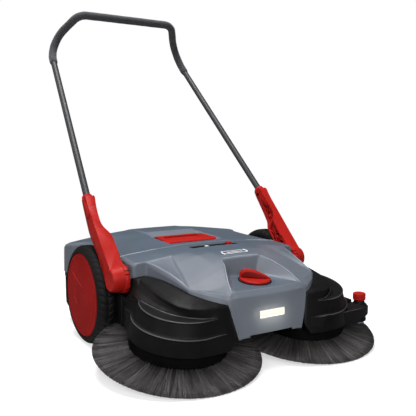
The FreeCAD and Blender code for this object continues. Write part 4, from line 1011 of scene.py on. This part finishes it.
def guard_rows():
    rows = []
    for radius, height, front, rear in GUARD_WALL:
        arc = [disc_point(math.radians(angle), radius, height) for angle in ARC]
        rows.append(front + arc + rear)
    # the crescent ledge: widens from a point in front towards the rear
    ledge = ([(111.2,-404.4,142), (130.3,-407.2,142.3), (150.2,-407.0,142.6)]
             + spread(LEDGE_LINE) + [(270,-222,170), (267,-205,168), (262,-183,165)])
    rows.append(ledge)
    rows.append([(x - 0.96 * (x > 150), y + 0.8, z + 2.2) for x, y, z in ledge])
    # a slightly hollow wall from the ledge to the shoulder
    shoulder = spread(SHOULDER_LINE)
    for t in (0.35, 0.72):
        wall = [Vector(a).lerp(Vector(b), t) for a, b in zip(spread(LEDGE_LINE), shoulder)]
        hollow = 4.5 * math.sin(math.pi * t)
        wall = [(x - hollow * min(1, max(0, (x - 180) / 40)), y, z) for x, y, z in wall]
        rows.append([(112 + 1.5 * t, -403.9 + 1.8 * t, 144 + 14 * t),
                     (130.5, -406.2 + 1.4 * t, 144 + 14 * t),
                     (146 + 4 * t, -405.6 + 2.6 * t, 145 + 14 * t)] + wall
                    + [(262 - 14 * t, -216 + 12 * t, 175 + 22 * t),
                       (260 - 9 * t, -203 + 13 * t, 176 + 22 * t),
                       (257 - 6 * t, -184 + 10 * t, 176 + 22 * t)])
    rows.append([(115.4,-401.6,160.5), (131,-403.8,161.8), (146,-403.0,163.0)]
                + shoulder + [(246,-194,202.4), (250.5,-186,202.6), (251,-172,202.8)])
    rows.append([(116.4,-400.4,163.0), (131.5,-400.5,165.2), (145,-399.5,166.8)]
                + spread(INNER_LINE) + [(238,-193,203.8), (242,-186,203.9), (243,-173,203.9)])
    rows.append([(118.6,-396.3,165.6), (128,-391.5,168.6), (137,-386,172)]
                + spread(HOOD_LINE) + [(218,-200,206.5), (220,-194,206.2), (223,-187,206)])
    rows.append([(118.6,-395.6,160.6), (128,-389.5,164.6), (135,-384,168)]
                + spread(HEM_LINE) + [(215,-200,203), (217,-194,203), (220,-187,203)])
    return rows


def build_side_skirts():
    """upright plates between the wheels and the brush guards"""
    outline = [(-196, 60), (-190, 40), (-150, 34), (-50, 34), (-45, 40), (-45, 158),
               (-52, 163), (-110, 154), (-196, 150)]
    parts = [side_prism("side_skirt_L", 261.5, 3.0, outline, "black_plastic", 0.8)]
    for y in (-170, -140):
        parts.append(box("rib", (263.8, 266.0), (y - 1.1, y + 1.1), (48, 150),
                         "black_plastic", 0.6))
    place_pair(join("side_skirt_L", parts), "side_skirt_R", "chassis", "black_plastic")


def build_guards():
    rows = guard_rows()
    guard = grid("guard_L", rows, "black_shell")
    crease_edges(guard, low=8.0, high=20.0, value=0.96, floor=0.6)
    bake(subdivide(guard, 2))
    bake(thicken(guard, 2.4))
    parts = [bake(weight_normals(guard))]
    # pale beads along three guard ridges: painted highlights
    for pts, radius in ((rows[5][1:19], 1.25), (rows[10][2:19], 1.2), (rows[12][2:19], 1.2)):
        parts.append(sweep("ridge_highlight_and_tick", densify(pts, 2), taper(radius, 0.15, 4.0), "ridge_highlight_and_tick", n=10))
    place_pair(join("guard_L", parts), "guard_R", "chassis", "black_shell", "brush_guard_left")


build_side_skirts()
build_guards()

# ---------------------------------------------------------------- guide bracket, on the left
BRACKET_FRONT = [(119, -416.2), (150, -419.4), (200, -413.5), (250, -405.5), (300, -396.0)]
BRACKET_OUTER = [(338, -386.5), (352, -380.5), (364, -372), (373, -362), (378, -349.5),
                 (377.5, -336.5), (370, -326), (356, -320.5), (330, -314), (304, -300)]
TOP_SLOPE = 0.0590              # fall of the bracket's top towards the outer side


def raised(plan, height):
    """plan points with height(x, y) as their z"""
    return [(x, y, height(x, y)) for x, y in plan]


def bracket_slab():
    arc = []
    for angle in range(92, -40, -8):
        t = math.radians(angle)
        arc.append((DISC.x + 114.5 * math.sin(t), DISC.y - 114.5 * math.cos(t)))
    plan = BRACKET_FRONT + BRACKET_OUTER + arc
    top = raised(plan, lambda x, y: 103.6 - TOP_SLOPE * (x - 150) - (2.2 if x > 345 else 0))
    return block("ear", raised(plan, lambda x, y: 66.0), top, "black_shell", 1.8)


def bracket_apron():
    inner = [(x - 0.8, y + 6.4) for x, y in BRACKET_FRONT]
    plan = BRACKET_FRONT + [(317, -392.0), (316, -385.8)] + inner[::-1]
    bottom = raised(plan, lambda x, y: 63.6 - 0.052 * (x - 121) + 0.00009 * (x - 121) ** 2)
    return block("apron", bottom, raised(plan, lambda x, y: 70.0), "black_shell", 1.2)


def bracket_gusset():
    plan = [(296, -334), (322, -332), (352, -322), (350, -312), (322, -304), (292, -296)]
    top = raised(plan, lambda x, y: (113.0 - 0.46 * max(0.0, x - 318)
                                     - (8.0 if y < -325 else 0.0)))
    return block("gusset", raised(plan, lambda x, y: 84.0), top, "black_shell", 2.0)


def build_guide_bracket():
    # a pale line along the bracket's front top edge: a painted highlight
    line = [(140, -418.6)] + BRACKET_FRONT[1:] + [(334, -387.4)]
    line = [(x, y - 0.2, 103.2 - TOP_SLOPE * (x - 150)) for x, y in line]
    stem = [(84, 6), (84, 20.5), (90.6, 20.3), (91.8, 18.8), (92.0, 15.9), (96.2, 15.2),
            (97.6, 14.2), (97.8, 12.4), (96.6, 12.0), (96.6, 5.4)]
    parts = [bracket_slab(), bracket_apron(), bracket_gusset(),
             sweep("top_line", line, taper(0.9, 0.2 / 0.9, 1), "ridge_highlight_and_tick", n=10),
             revolve("stem", rounded(stem, 0.8, 3), "black_shell", (GUIDE.x, GUIDE.y, 0),
                     axis="Z", n=64)]
    place(join("ear", parts), "chassis", "black_shell", "guide_bracket")


def knob_flutes(k, n, height, radius):
    if radius > 15 and 102 < height < 119:
        return radius - 0.55 * (0.5 - 0.5 * math.cos(2 * math.pi * k * 24 / n))
    return radius


def build_guide_roller():
    """the guide roller, and the press knob and shoe beside it"""
    origin = (GUIDE.x, GUIDE.y, 0)
    roller = [(42.2, 10.2), (42.2, 16.5), (43.5, 18.5), (45.5, 19.6), (48, 20.0), (52, 19.0),
              (55.5, 19.0), (59.5, 20.0), (62, 19.6), (64, 18.5), (65.2, 16.5), (65.2, 10.2)]
    roller = revolve("guide_wheel", rounded(roller, 0.8, 3), "black_plastic", origin,
                     axis="Z", n=64)
    place(roller, "guide_roller", "black_plastic", "guide_roller")
    knob = [(100, 5.1), (100, 14.3), (101.6, 16.4), (103, 17.2), (118.4, 17.25),
            (120.2, 15.8), (121.2, 12.8), (120.4, 11.6), (120.2, 0)]
    knob = revolve("knob", rounded(knob, 0.7, 3), "red", origin, axis="Z", n=192,
                   mod=knob_flutes)
    place(knob, "press_screw", "red", "press_knob")
    shoe = [(352, -362, 14), (378, -358, 14), (380, -332, 14), (357, -330, 14)]
    shoe = prism("shoe", shoe, (0, 0, 6), "black_plastic", 1.6)
    place(shoe, "press_shoe", "black_plastic", "press_shoe")


build_guide_bracket()
build_guide_roller()

# ---------------------------------------------------------------- wheels
TYRE_IN, TYRE_OUT = 272.0, 318.0
# (x, radius) from the inner side over the crown to the outer side
TYRE_PROFILE = (
    [(TYRE_IN + x, r) for x, r in (
        (0.5, 110), (0, 113), (0.2, 117), (1.6, 121.4), (4.0, 125.2), (7.2, 128.2),
        (10.5, 130.0), (14, 130.8))]
    + [(289, 131), (291.6, 131), (292.6, 129.6), (293.4, 129.2), (296.6, 129.2),
       (297.4, 129.6), (298.4, 131), (301, 131)]
    + [(TYRE_OUT + x, r) for x, r in (
        (-14, 130.8), (-10.5, 130.0), (-7.2, 128.2), (-4.0, 125.4), (-1.4, 121.6),
        (0.6, 117.6), (1.6, 115.6), (1.8, 114.2), (1.2, 112.8), (-0.4, 111.8), (-3, 111.2))])
CAP_PROFILE = [
    (311.8, 110.9), (315.6, 110.8), (317.6, 110.2), (318.7, 108.6), (319.1, 106.0),
    (319.0, 102.2), (318.6, 100.4), (318.1, 99.4), (317.9, 98.2), (318.1, 96), (318.7, 88),
    (319.3, 70), (319.7, 50), (319.8, 30), (319.8, 12), (319.8, 0.01),
]


def tread(k, n, x, radius):
    """44 chevron grooves over the crown, none on the middle rib or the shoulders"""
    middle, half = (TYRE_IN + TYRE_OUT) / 2, (TYRE_OUT - TYRE_IN) / 2
    across = abs(x - middle) / half
    phase = (k / n * 44 + 0.55 * across) % 1.0
    grooved = radius >= 122 and phase < 0.36 and 0.10 < across < 0.86
    return radius - 2.1 if grooved else radius


def build_wheels():
    tyre = revolve("tyre", TYRE_PROFILE, "tyre", (0, 0, WHEEL_Z), n=528, mod=tread)
    place_pair(tyre, "tyre_R", "wheel_left", "tyre", "tyre_left")
    cap = revolve("cap", rounded(CAP_PROFILE, 0.6, 2), "red_cap", (0, 0, WHEEL_Z), n=192)
    place_pair(cap, "cap_R", "wheel_left", "red", "wheel_cap_left")


def build_cap_beads(side, letter, body):
    """a straight raised chord and two short curved ones on the wheel cap, in a lighter red that paints their
    highlights
    """
    face = 319.9
    beads = [       # radius, x, (y, z) points
        (0.85, face, [(70.5 - 86.2 * t, 184.8 - 33.9 * t) for t in np.linspace(0, 1, 12)]),
        (0.9, face - 0.2, [(49.6, 122.7), (48.6, 117.5), (46.5, 112), (43.5, 107.4),
                           (39, 103.6), (33, 101.4), (25, 100.4)]),
        (0.8, face - 0.2, [(24, 151.0), (31, 153.6), (38, 154.2), (44, 152.6)]),
    ]
    parts = [sweep("bead", [(side * x, y, z) for y, z in pts], taper(radius, 0.25, 3.0),
                   "red_highlight_line", n=10) for radius, x, pts in beads]
    place(join("cap_beads_" + letter, parts), body, "red")


build_wheels()
build_cap_beads(1, "L", "wheel_left")
build_cap_beads(-1, "R", "wheel_right")

# ---------------------------------------------------------------- handle arms
# the arm's sloping front face: a point on it, the way up along it, and the other perpendicular
FACE_START = Vector((0, -155, 225))
FACE_UP = Vector((0, 0.7161, 0.6980))
FACE_NORMAL = Vector((0, -0.6980, 0.7161))
# (y, z) side outline
ARM_SIDE = [
    (-172, 208), (-155, 225), (-111, 268.5), (-67, 313), (-37, 343.5), (-14, 367), (4, 390),
    (11, 393.5), (24, 389), (33, 379), (22, 359), (4, 330), (-18, 298), (-34, 282),
    (-60, 262), (-80, 243), (-103, 215), (-118, 195), (-134, 172),
]
# (x, distance up the front face) of the inner and outer sides
ARM_INNER = [
    (262, -70), (262, 70), (262.6, 90), (263.6, 102), (265.6, 110), (269.2, 117),
    (273.4, 124), (277.2, 131.5), (279.6, 140), (280.6, 152), (279.6, 178), (276.6, 205),
    (273.6, 228), (272.6, 245), (272.6, 290),
]
ARM_OUTER = [(299.6, 290), (299.6, 240), (299.8, 200), (300.2, 150), (300.6, 100),
             (300.6, -70)]
HUB_PROFILE = [
    (259.2, 0.01), (259.2, 33.0), (260.6, 35.4), (263.6, 36.0), (268.6, 35.9), (270.4, 35.0),
    (271.2, 33.6), (273.0, 33.0), (289.0, 31.4), (293.4, 30.6), (297.6, 29.0), (300.8, 27.6),
    (302.0, 25.6), (302.2, 23.4), (301.2, 22.4), (301.2, 0.01),
]
# pockets cut from the inner side: (depth from x = 240, edge rounding, (y, z) outline)
POCKETS = [
    (57, 1.6, [(-102, 221), (-60, 270), (-68, 302), (-107, 264), (-128, 243)]),
    (57, 1.6, [(-52, 283), (-28, 306), (-14, 328), (-30, 342), (-61, 309)]),
    (52, 1.5, [(-22, 317), (-2, 343), (16, 368), (8, 377), (-6, 362), (-25, 336)]),
]
# (y, z) ends of the ribs in the pockets
ARM_RIBS = [
    ((-22, 317), (-25, 336)), ((-22, 317), (4, 373)), ((-2, 343), (-25, 336)),
    ((-2, 343), (4, 373)), ((-102, 221), (-107, 264)), ((-60, 270), (-128, 243)),
    ((-82, 245), (-90, 281)), ((-52, 283), (-30, 342)), ((-28, 306), (-61, 309)),
    ((-102, 221), (-68, 302)), ((-63, 267), (-107, 264)), ((-40, 295), (-36, 338)),
]
# (y, z, inner x, inner radius, outer radius)
ARM_BOSSES = [(-92, 250, 264.2, 4.2, 4.6), (-74, 276, 264.2, 4.2, 4.6),
              (-42, 309, 275.2, 3.6, 4.0)]
# handle tube on the left: lower end, bend, and the corner of the top bar
TUBE_END = Vector((286, 30, 390))
TUBE_BEND = Vector((234, 488, 858))
TUBE_CORNER = Vector((167, 385, 942))
TUBE_DIR = (TUBE_BEND - TUBE_END).normalized()


def face_point(x, up, out):
    point = FACE_START + FACE_UP * up + FACE_NORMAL * out
    return (x, point.y, point.z)


def arm_plan(inset=0.0):
    """a solid that bounds the arm between its inner and outer sides"""
    pts = [face_point(x + inset, up, -150) for x, up in ARM_INNER]
    pts += [face_point(x, up, -150) for x, up in ARM_OUTER]
    return prism("plan", pts, tuple(FACE_NORMAL * 260), "red")


def socket_radius(i, m, angle):
    lobes = abs(math.cos(2 * (angle + 0.35))) ** 0.5 * 0.04 + 0.985
    return (13.0, 13.8, 14.2, 14.2, 13.2, 11.2)[i] * lobes


def arm_body():
    arm = side_prism("arm_L", 250, 60, ARM_SIDE, "red")
    boolean(arm, arm_plan(), "INTERSECT")
    hub = revolve("hub", HUB_PROFILE, "red", (0, HUB.y, HUB.z))
    boolean(arm, tidy(hub, merge=2e-5), "UNION")      # the wider merge closes the hub's ends
    for depth, rounding, outline in POCKETS:
        boolean(arm, side_prism("cutter", 240, depth, outline, "gap_shade_black", rounding, 2))
    boolean(arm, box("cutter", (258, 264.4), (-137, -132.5), (238, 252), "gap_shade_black", 0.5))
    socket = [tuple(TUBE_END - TUBE_DIR * back) for back in (70, 40, 20, 3.5, 1.2, 0)]
    socket = sweep("socket", socket, socket_radius, "red", n=48)
    bake(bevel_edges(arm, 2.2, 3, 28))
    boolean(arm, socket, "UNION")
    return arm


def arm_ribs():
    plan = arm_plan(inset=0.9)
    ribs = []
    for (y0, z0), (y1, z1) in ARM_RIBS:
        length = math.hypot(y1 - y0, z1 - z0)
        dy, dz = -(z1 - z0) / length * 0.9, (y1 - y0) / length * 0.9
        outline = [(y0 + dy, z0 + dz), (y1 + dy, z1 + dz), (y1 - dy, z1 - dz), (y0 - dy, z0 - dz)]
        rib = side_prism("rib", 262.8, 35, outline, "red")
        boolean(rib, plan, "INTERSECT", keep_tool=True)
        ribs.append(rib)
    bpy.data.objects.remove(plan)
    return ribs


def arm_lines():
    """three short near-black lines on the front of the hub and one on the arm: painted shade in narrow grooves"""
    lines = []
    for z in (222.0, 213.5, 177.0):
        y = HUB.y - math.sqrt(36.1 ** 2 - (z - HUB.z) ** 2)
        lines.append(box("line", (259.4, 271.4), (y - 0.25, y + 2.0), (z - 0.75, z + 0.75),
                         "gap_shade_black", 0.2))
    pts = [face_point(262.6, up, -0.6) for up in (29, 38, 48, 58)]
    lines.append(sweep("line", pts, taper(1.1, 0.3 / 1.1, 1), "gap_shade_black", n=8))
    return lines


def build_arms():
    parts = [arm_body()] + arm_ribs()
    for y, z, inner_x, inner_r, outer_r in ARM_BOSSES:
        profile = rounded([(inner_x, 0.01), (inner_x, inner_r), (297, outer_r)], 0.6, 2)
        parts.append(revolve("boss", profile, "red", (0, y, z), n=24))
    lines = arm_lines()
    arm = bake(weight_normals(join("arm_left", parts)))
    lines = join("arm_lines_L", lines)
    place_pair(arm, "arm_right", "handle", "red", "handle_arm_left")
    place_pair(lines, "arm_lines_R", "handle", "black_plastic")


# ---------------------------------------------------------------- foam grip
def bent_path(points, radii, n):
    """a path with an arc of n steps at each inner point"""
    out = [points[0]]
    for before, corner, after, radius in zip(points, points[1:], points[2:], radii):
        back, ahead = (before - corner).normalized(), (after - corner).normalized()
        half = back.angle(ahead) / 2
        reach = radius / math.tan(half)
        center = corner + (back + ahead).normalized() * (radius / math.sin(half))
        start = corner + back * reach - center
        end = corner + ahead * reach - center
        axis, turn = start.cross(end).normalized(), start.angle(end)
        out += [center + Matrix.Rotation(turn * k / n, 3, axis) @ start for k in range(n + 1)]
    return out + [points[-1]]


def resample(pts, step):
    out = [pts[0]]
    for a, b in zip(pts[:-1], pts[1:]):
        count = max(1, int((b - a).length / step))
        out += [a.lerp(b, i / count) for i in range(1, count + 1)]
    return out


def foam_radius(i, m, angle):
    """rounded ends, and a slight unevenness in between"""
    from_end = min(i, m - 1 - i)
    if from_end < 3:
        return (9.9, 11.6, 12.4)[from_end]
    return 12.6 + 0.12 * math.sin(i * 0.61) + 0.10 * math.sin(i * 0.23 + angle)


def build_foam():
    left = [TUBE_BEND - TUBE_DIR * 100, TUBE_BEND, TUBE_CORNER]
    right = [Vector((-point.x, point.y, point.z)) for point in reversed(left)]
    path = resample(bent_path(left + right, [75, 45, 45, 75], 24), 4.0)
    grip = sweep("foam_grip", path, foam_radius, "foam", n=36)
    place(grip, "handle", "foam", "handle_grip")


build_arms()
build_foam()

# ---------------------------------------------------------------- bristles
rng = np.random.RandomState(11)


def strand_mesh(name, strands):
    """tapered three-sided strands: (points, radii, shade at the root, shade at the tip)"""
    coords, shades, faces = [], [], []
    for pts, radii, root, tip in strands:
        path = np.array(pts, float)
        tangent = np.gradient(path, axis=0)
        tangent /= np.linalg.norm(tangent, axis=1)[:, None] + 1e-9
        up = np.array([0.0, 0.0, 1.0] if abs(tangent[0][2]) < 0.9 else [1.0, 0.0, 0.0])
        side = np.cross(tangent, up)
        side /= np.linalg.norm(side, axis=1)[:, None] + 1e-9
        other = np.cross(tangent, side)
        first, m = len(coords), len(path)
        for i in range(m):
            for q in range(3):
                angle = 2 * math.pi * q / 3
                turned = side[i] * math.cos(angle) + other[i] * math.sin(angle)
                coords.append((path[i] + turned * radii[i]).tolist())
                shades.append(root + (tip - root) * i / (m - 1))
        for a in range(first, first + (m - 1) * 3, 3):
            faces += [(a + q, a + (q + 1) % 3, a + 3 + (q + 1) % 3, a + 3 + q)
                      for q in range(3)]
        last = first + (m - 1) * 3
        faces.append((last, last + 1, last + 2))
    obj = make(name, coords, faces, "bristle")
    store_shades(obj, shades)
    return obj


def store_shades(obj, values):
    attribute = obj.data.attributes.new("strand_tone_and_root_shade", "FLOAT", "POINT")
    attribute.data.foreach_set("value", np.array(values, np.float32))


def disc_strands():
    """strands in four rings of tufts; a tuft shares a shade, so that streaks run outwards"""
    tufts = 120
    tuft_shade = rng.rand(4, tufts)
    strands = []
    for k in range(7600):
        layer = k % 4
        tuft = rng.randint(tufts)
        angle = 2 * math.pi * (tuft + 0.25 * layer) / tufts + rng.normal(0, 0.007)
        spread_angle = rng.normal(0, 0.011)
        root_r = 95 + layer * 2.6 + rng.uniform(-1.0, 1.0)
        root_z = 24.0 - layer * 3.0 + rng.uniform(-1.5, 1.5)
        tip_r = 201.5 + rng.uniform(-1.2, 0.6) - (rng.rand() < 0.02) * rng.uniform(0, 3)
        tip_z = 1.2 + rng.uniform(0, 3.4) + layer * 0.5
        arch = rng.uniform(0.0, 3.0)
        pts = []
        for i in range(6):
            t = i / 5
            turned = angle + spread_angle * t + 0.010 * math.sin(3.0 * t + k) * t
            z = root_z * (1 - t) ** 1.35 + tip_z * t + arch * math.sin(math.pi * t)
            pts.append(disc_point(turned, root_r + (tip_r - root_r) * t, z, lowest=1.0))
        # random tone per tuft; roots darker than tips as painted shade at the roots
        pale = 0.04 + 0.66 * tuft_shade[layer, tuft] + 0.30 * rng.rand()
        strands.append((pts, (0.60, 0.58, 0.55, 0.52, 0.46, 0.30),
                        0.02 + 0.40 * pale, 1.10 * pale ** 1.7 + 0.06))
    return strands


def bristle_skirt():
    """a thin ruffled sheet below the strands, so that no floor shows through"""
    around = 288
    rows = []
    for radius, height, wave in ((90, 20, 0.0), (110, 15, 0.6), (140, 8.2, 1.2),
                                 (170, 3.6, 1.4), (198.5, 1.2, 0.6)):
        row = []
        for k in range(around + 1):
            angle = 2 * math.pi * (k % around) / around
            z = height + wave * math.sin(angle * 72) * 0.5
            notch = 1.3 * (k % 2) if radius > 195 else 0.0
            row.append(disc_point(angle, radius - notch, z, lowest=0.8))
        rows.append(row)
    skirt = tidy(grid("bristle_skirt_L", rows, "bristle"))
    coords = coords_of(skirt.data) * 1000
    dx, dy = coords[:, 0] - DISC.x, coords[:, 1] - DISC.y
    outward = np.clip((np.hypot(dx, dy) - 95) / 110, 0, 1)
    # darker towards the middle: painted shade at the bristle roots
    store_shades(skirt, outward * 0.22 * (0.6 + 0.4 * np.sin(np.arctan2(dx, dy) * 144)))
    return bake(thicken(skirt, 0.8, 0.0))


def disc_blade(k, count, half, profile, mat, bevel=0.0, seg=3):
    """one of `count` upright plates round the disc, from (radius, height) points"""
    angle = 2 * math.pi * k / count
    out = Vector((math.sin(angle), -math.cos(angle), 0))
    side = Vector((math.cos(angle), math.sin(angle), 0))
    pts = [tuple(DISC_MATRIX @ (out * radius + Vector((0, 0, z)) - side * half))
           for radius, z in profile]
    return prism("blade", pts, tuple(DISC_TILT @ (side * (2 * half))), mat, bevel, seg)


def build_disc_brushes():
    bristles = join("brush_bristles_L", [strand_mesh("bristles_L", disc_strands()),
                                         bristle_skirt()])
    place_pair(bristles, "brush_bristles_R", "disc_left", "bristle", "bristle_ring_left")
    # a dish with a rolled rim, spokes, a dark collar and a row of teeth at the bristle roots; the collar and teeth
    # are near-black, painted shade at the roots
    dish = [(60, 8.2), (60, 21), (57, 23.5), (56.4, 90), (55, 98), (50, 104), (44, 107.6),
            (15, 108.2), (11.4, 107.0), (11.4, 104.6), (14, 103.8), (38, 102), (45.4, 97),
            (46.2, 90), (46.4, 22), (20, 20), (18.2, 18), (18.2, 8.2)]
    collar = [(20.0, 108.0), (20.0, 116.2), (21.0, 117.0), (44.0, 117.4), (46.0, 116.6),
              (46.0, 111.0), (26.0, 108.0)]
    spoke = [(24, 56), (94, 56), (90, 59), (26, 61)]
    tooth = [(115.0, 18.0), (118.6, 18.6), (118.8, 26.0), (115.0, 28.0)]
    parts = [revolve("plate", rounded(dish, 1.2, 3), "black_plastic", axis="Z", n=144,
                     matrix=DISC_MATRIX)]
    parts += [disc_blade(k, 12, 1.3, spoke, "black_plastic", 0.4, 2) for k in range(12)]
    parts.append(revolve("collar", rounded(collar, 0.6, 2), "gap_shade_black", axis="Z", n=144,
                         matrix=DISC_MATRIX))
    parts += [disc_blade(k, 96, 1.7, tooth, "gap_shade_black") for k in range(96)]
    place_pair(join("brush_plate_L", parts), "brush_plate_R", "disc_left", "black_plastic",
               "brush_disc_left")


def clamp(value, low, high):
    return min(max(value, low), high)


def roller_point(radius, angle):
    return (ROLLER_Y + radius * math.cos(angle), ROLLER_Z + radius * math.sin(angle))


def build_roller_brush():
    """six rows of tufts along a core, shorter at both ends, each with a near-black strip below as painted shade
    inside the row
    """
    core = 22.4
    row_angles = [math.radians(60 * k + 15) for k in range(6)]
    columns = 84
    strands = []
    for row_angle in row_angles:
        for i in range(columns):
            x = -216 + 418 * i / (columns - 1)
            at_end = abs(x) > 186
            full = 42.6 if at_end else 47.0
            low, high = (-217.5, 203.5) if at_end else (-186.5, 186.5)
            for _ in range(12):
                root = row_angle + rng.normal(0, 0.035)
                tip = row_angle + rng.normal(0, 0.075)
                tip = clamp(tip, row_angle - 0.15, row_angle + 0.15)
                root_x = x + rng.normal(0, 1.2)
                tip_r = full - rng.uniform(0, 1.6)
                tip_x = clamp(root_x + rng.normal(0, 1.0), low, high)
                root_x = clamp(root_x, low, high)
                pale = 0.25 + 0.75 * rng.rand()
                pts = [(root_x, *roller_point(core, root)),
                       ((root_x + tip_x) / 2,
                        *roller_point(0.5 * (core + tip_r), (root + tip) / 2)),
                       (tip_x, *roller_point(tip_r, tip))]
                # each strand darkens towards the core: painted shade at the roots
                strands.append((pts, (0.6, 0.5, 0.35), 0.05, 0.35 + 0.4 * pale))
    parts = [strand_mesh("roller_strands", strands)]
    strip = ((22.2, -0.17), (38, -0.10), (41, 0.0), (38, 0.10), (22.2, 0.17))
    for row_angle in row_angles:
        outline = [roller_point(radius, row_angle + turn) for radius, turn in strip]
        parts.append(side_prism("strip", -217, 420, outline, "gap_shade_black", 0.6, 2))
    place(join("roller_brush", parts), "roller", "bristle", "roller_bristles")


build_disc_brushes()
build_roller_brush()

# ---------------------------------------------------------------- stage, in metres
WORLD_LIGHT = 0.06       # strength seen by everything but the camera
FLOOR_BOUNCE = 0.22      # floor grey seen by everything but the camera
FLOOR_SELF = 0.56        # glow added to the floor near the sweeper
LAMP_GLOW = 0.024
AIM = (0, -0.05, 0.25)
# name, place, size, power
LIGHTS = [
    ("left_high", (-3.0, -1.6, 2.2), (1.5, 1.5), 42),
    ("front", (-1.2, -3.4, 1.7), (1.5, 1.5), 74),
    ("top", (-0.3, 0.2, 3.4), (2.0, 1.6), 132),
    ("right", (3.0, -1.6, 1.5), (1.6, 1.6), 6),
    ("back_left", (-2.5, 2.5, 2.0), (2.0, 1.6), 10),
    ("left_low", (-3.2, -0.6, 0.9), (1.2, 1.2), 6),
    ("under", (-0.5, -1.0, -2.6), (3.0, 3.0), 70),
]
scene = bpy.context.scene


def build_world():
    """dim light for the scene, plain white for the camera"""
    world = bpy.data.worlds.new("studio")
    scene.world = world
    world.use_nodes = True
    graph = Graph(world.node_tree, "OutputWorld")
    dim = graph.add("Background", {0: (0.93, 0.96, 1), 1: WORLD_LIGHT})
    white = graph.add("Background", {0: (1, 1, 1), 1: 1.0})
    camera_ray = graph.add("LightPath").outputs["Is Camera Ray"]
    mixed = graph.add("MixShader", {0: camera_ray, 1: dim.outputs[0], 2: white.outputs[0]})
    graph.feed(graph.output, {0: mixed.outputs[0]})


def floor_material():
    """The camera sees a pale sheet that fades to white further out, other rays a mid grey.

    From below, and to shadow rays, the sheet is clear.
    """
    mat = Material("floor_white")

    def mix_shaders(factor, first, second):
        inputs = {0: factor, 1: first.outputs[0], 2: second.outputs[0]}
        return mat.add("MixShader", inputs)

    clouds = mat.ramp(mat.noise(3.0, detail=3.0), 0.3, 0.7)
    mat.surface({"Base Color": mat.mix(clouds, (0.55, 0.55, 0.55), (0.57, 0.57, 0.57)),
                 "Roughness": 0.9, "Specular IOR Level": 0.0})
    bounce = mat.add("BsdfDiffuse", {"Color": (FLOOR_BOUNCE,) * 3})
    glow = mat.add("Emission", {"Strength": FLOOR_SELF})
    white = mat.add("Emission", {"Strength": 1.0})
    near = mat.add("AddShader", {0: mat.shader.outputs[0], 1: glow.outputs[0]})
    distance = mat.add("VectorMath", {0: mat.coords}, operation="LENGTH").outputs["Value"]
    sheet = mix_shaders(mat.ramp(distance, 0.55, 1.25), near, white)
    rays = mat.add("LightPath").outputs
    seen = mix_shaders(rays["Is Camera Ray"], bounce, sheet)
    back = mat.add("NewGeometry").outputs["Backfacing"]
    hidden = mat.add("Math", {0: back, 1: rays["Is Shadow Ray"]}, operation="MAXIMUM")
    final = mix_shaders(hidden.outputs[0], seen, mat.add("BsdfTransparent"))
    mat.feed(mat.output, {0: final.outputs[0]})


def build_floor():
    floor_material()
    corners = [(-12000, -8000, 0), (12000, -8000, 0), (12000, 12000, 0), (-12000, 12000, 0)]
    make("floor", corners, [[0, 1, 2, 3]], "floor_white")


def area_light(name, location, rotation, size, power, color=(1, 1, 1)):
    light = bpy.data.lights.new(name, "AREA")
    light.shape = "RECTANGLE"
    light.size, light.size_y = size
    light.energy = power
    light.color = color
    obj = add_object(name, light)
    obj.location = location
    obj.rotation_euler = rotation


def build_lights():
    for name, location, size, power in LIGHTS:
        away = Vector(location) - Vector(AIM)
        area_light(name, location, away.to_track_quat("Z", "Y").to_euler(), size, power)
    area_light("lamp_glow", (0, -0.437, 0.131), (math.radians(75), 0, 0), (0.07, 0.02),
               LAMP_GLOW, color=(1.0, 0.95, 0.78))


def build_camera():
    data = bpy.data.cameras.new("cam")
    data.lens = 51.7
    data.sensor_width = 36.0
    camera = add_object("cam", data)
    turn, rise = math.radians(-31.94), math.radians(5.94)
    back = Vector((math.sin(turn) * math.cos(rise), -math.cos(turn) * math.cos(rise),
                   math.sin(rise)))
    camera.location = (-0.856, -1.499, 0.525)
    camera.rotation_euler = back.to_track_quat("Z", "Y").to_euler()
    scene.camera = camera


build_world()
build_floor()
build_lights()
build_camera()
scene.view_settings.view_transform = "Standard"

bpy.context.view_layer.update()
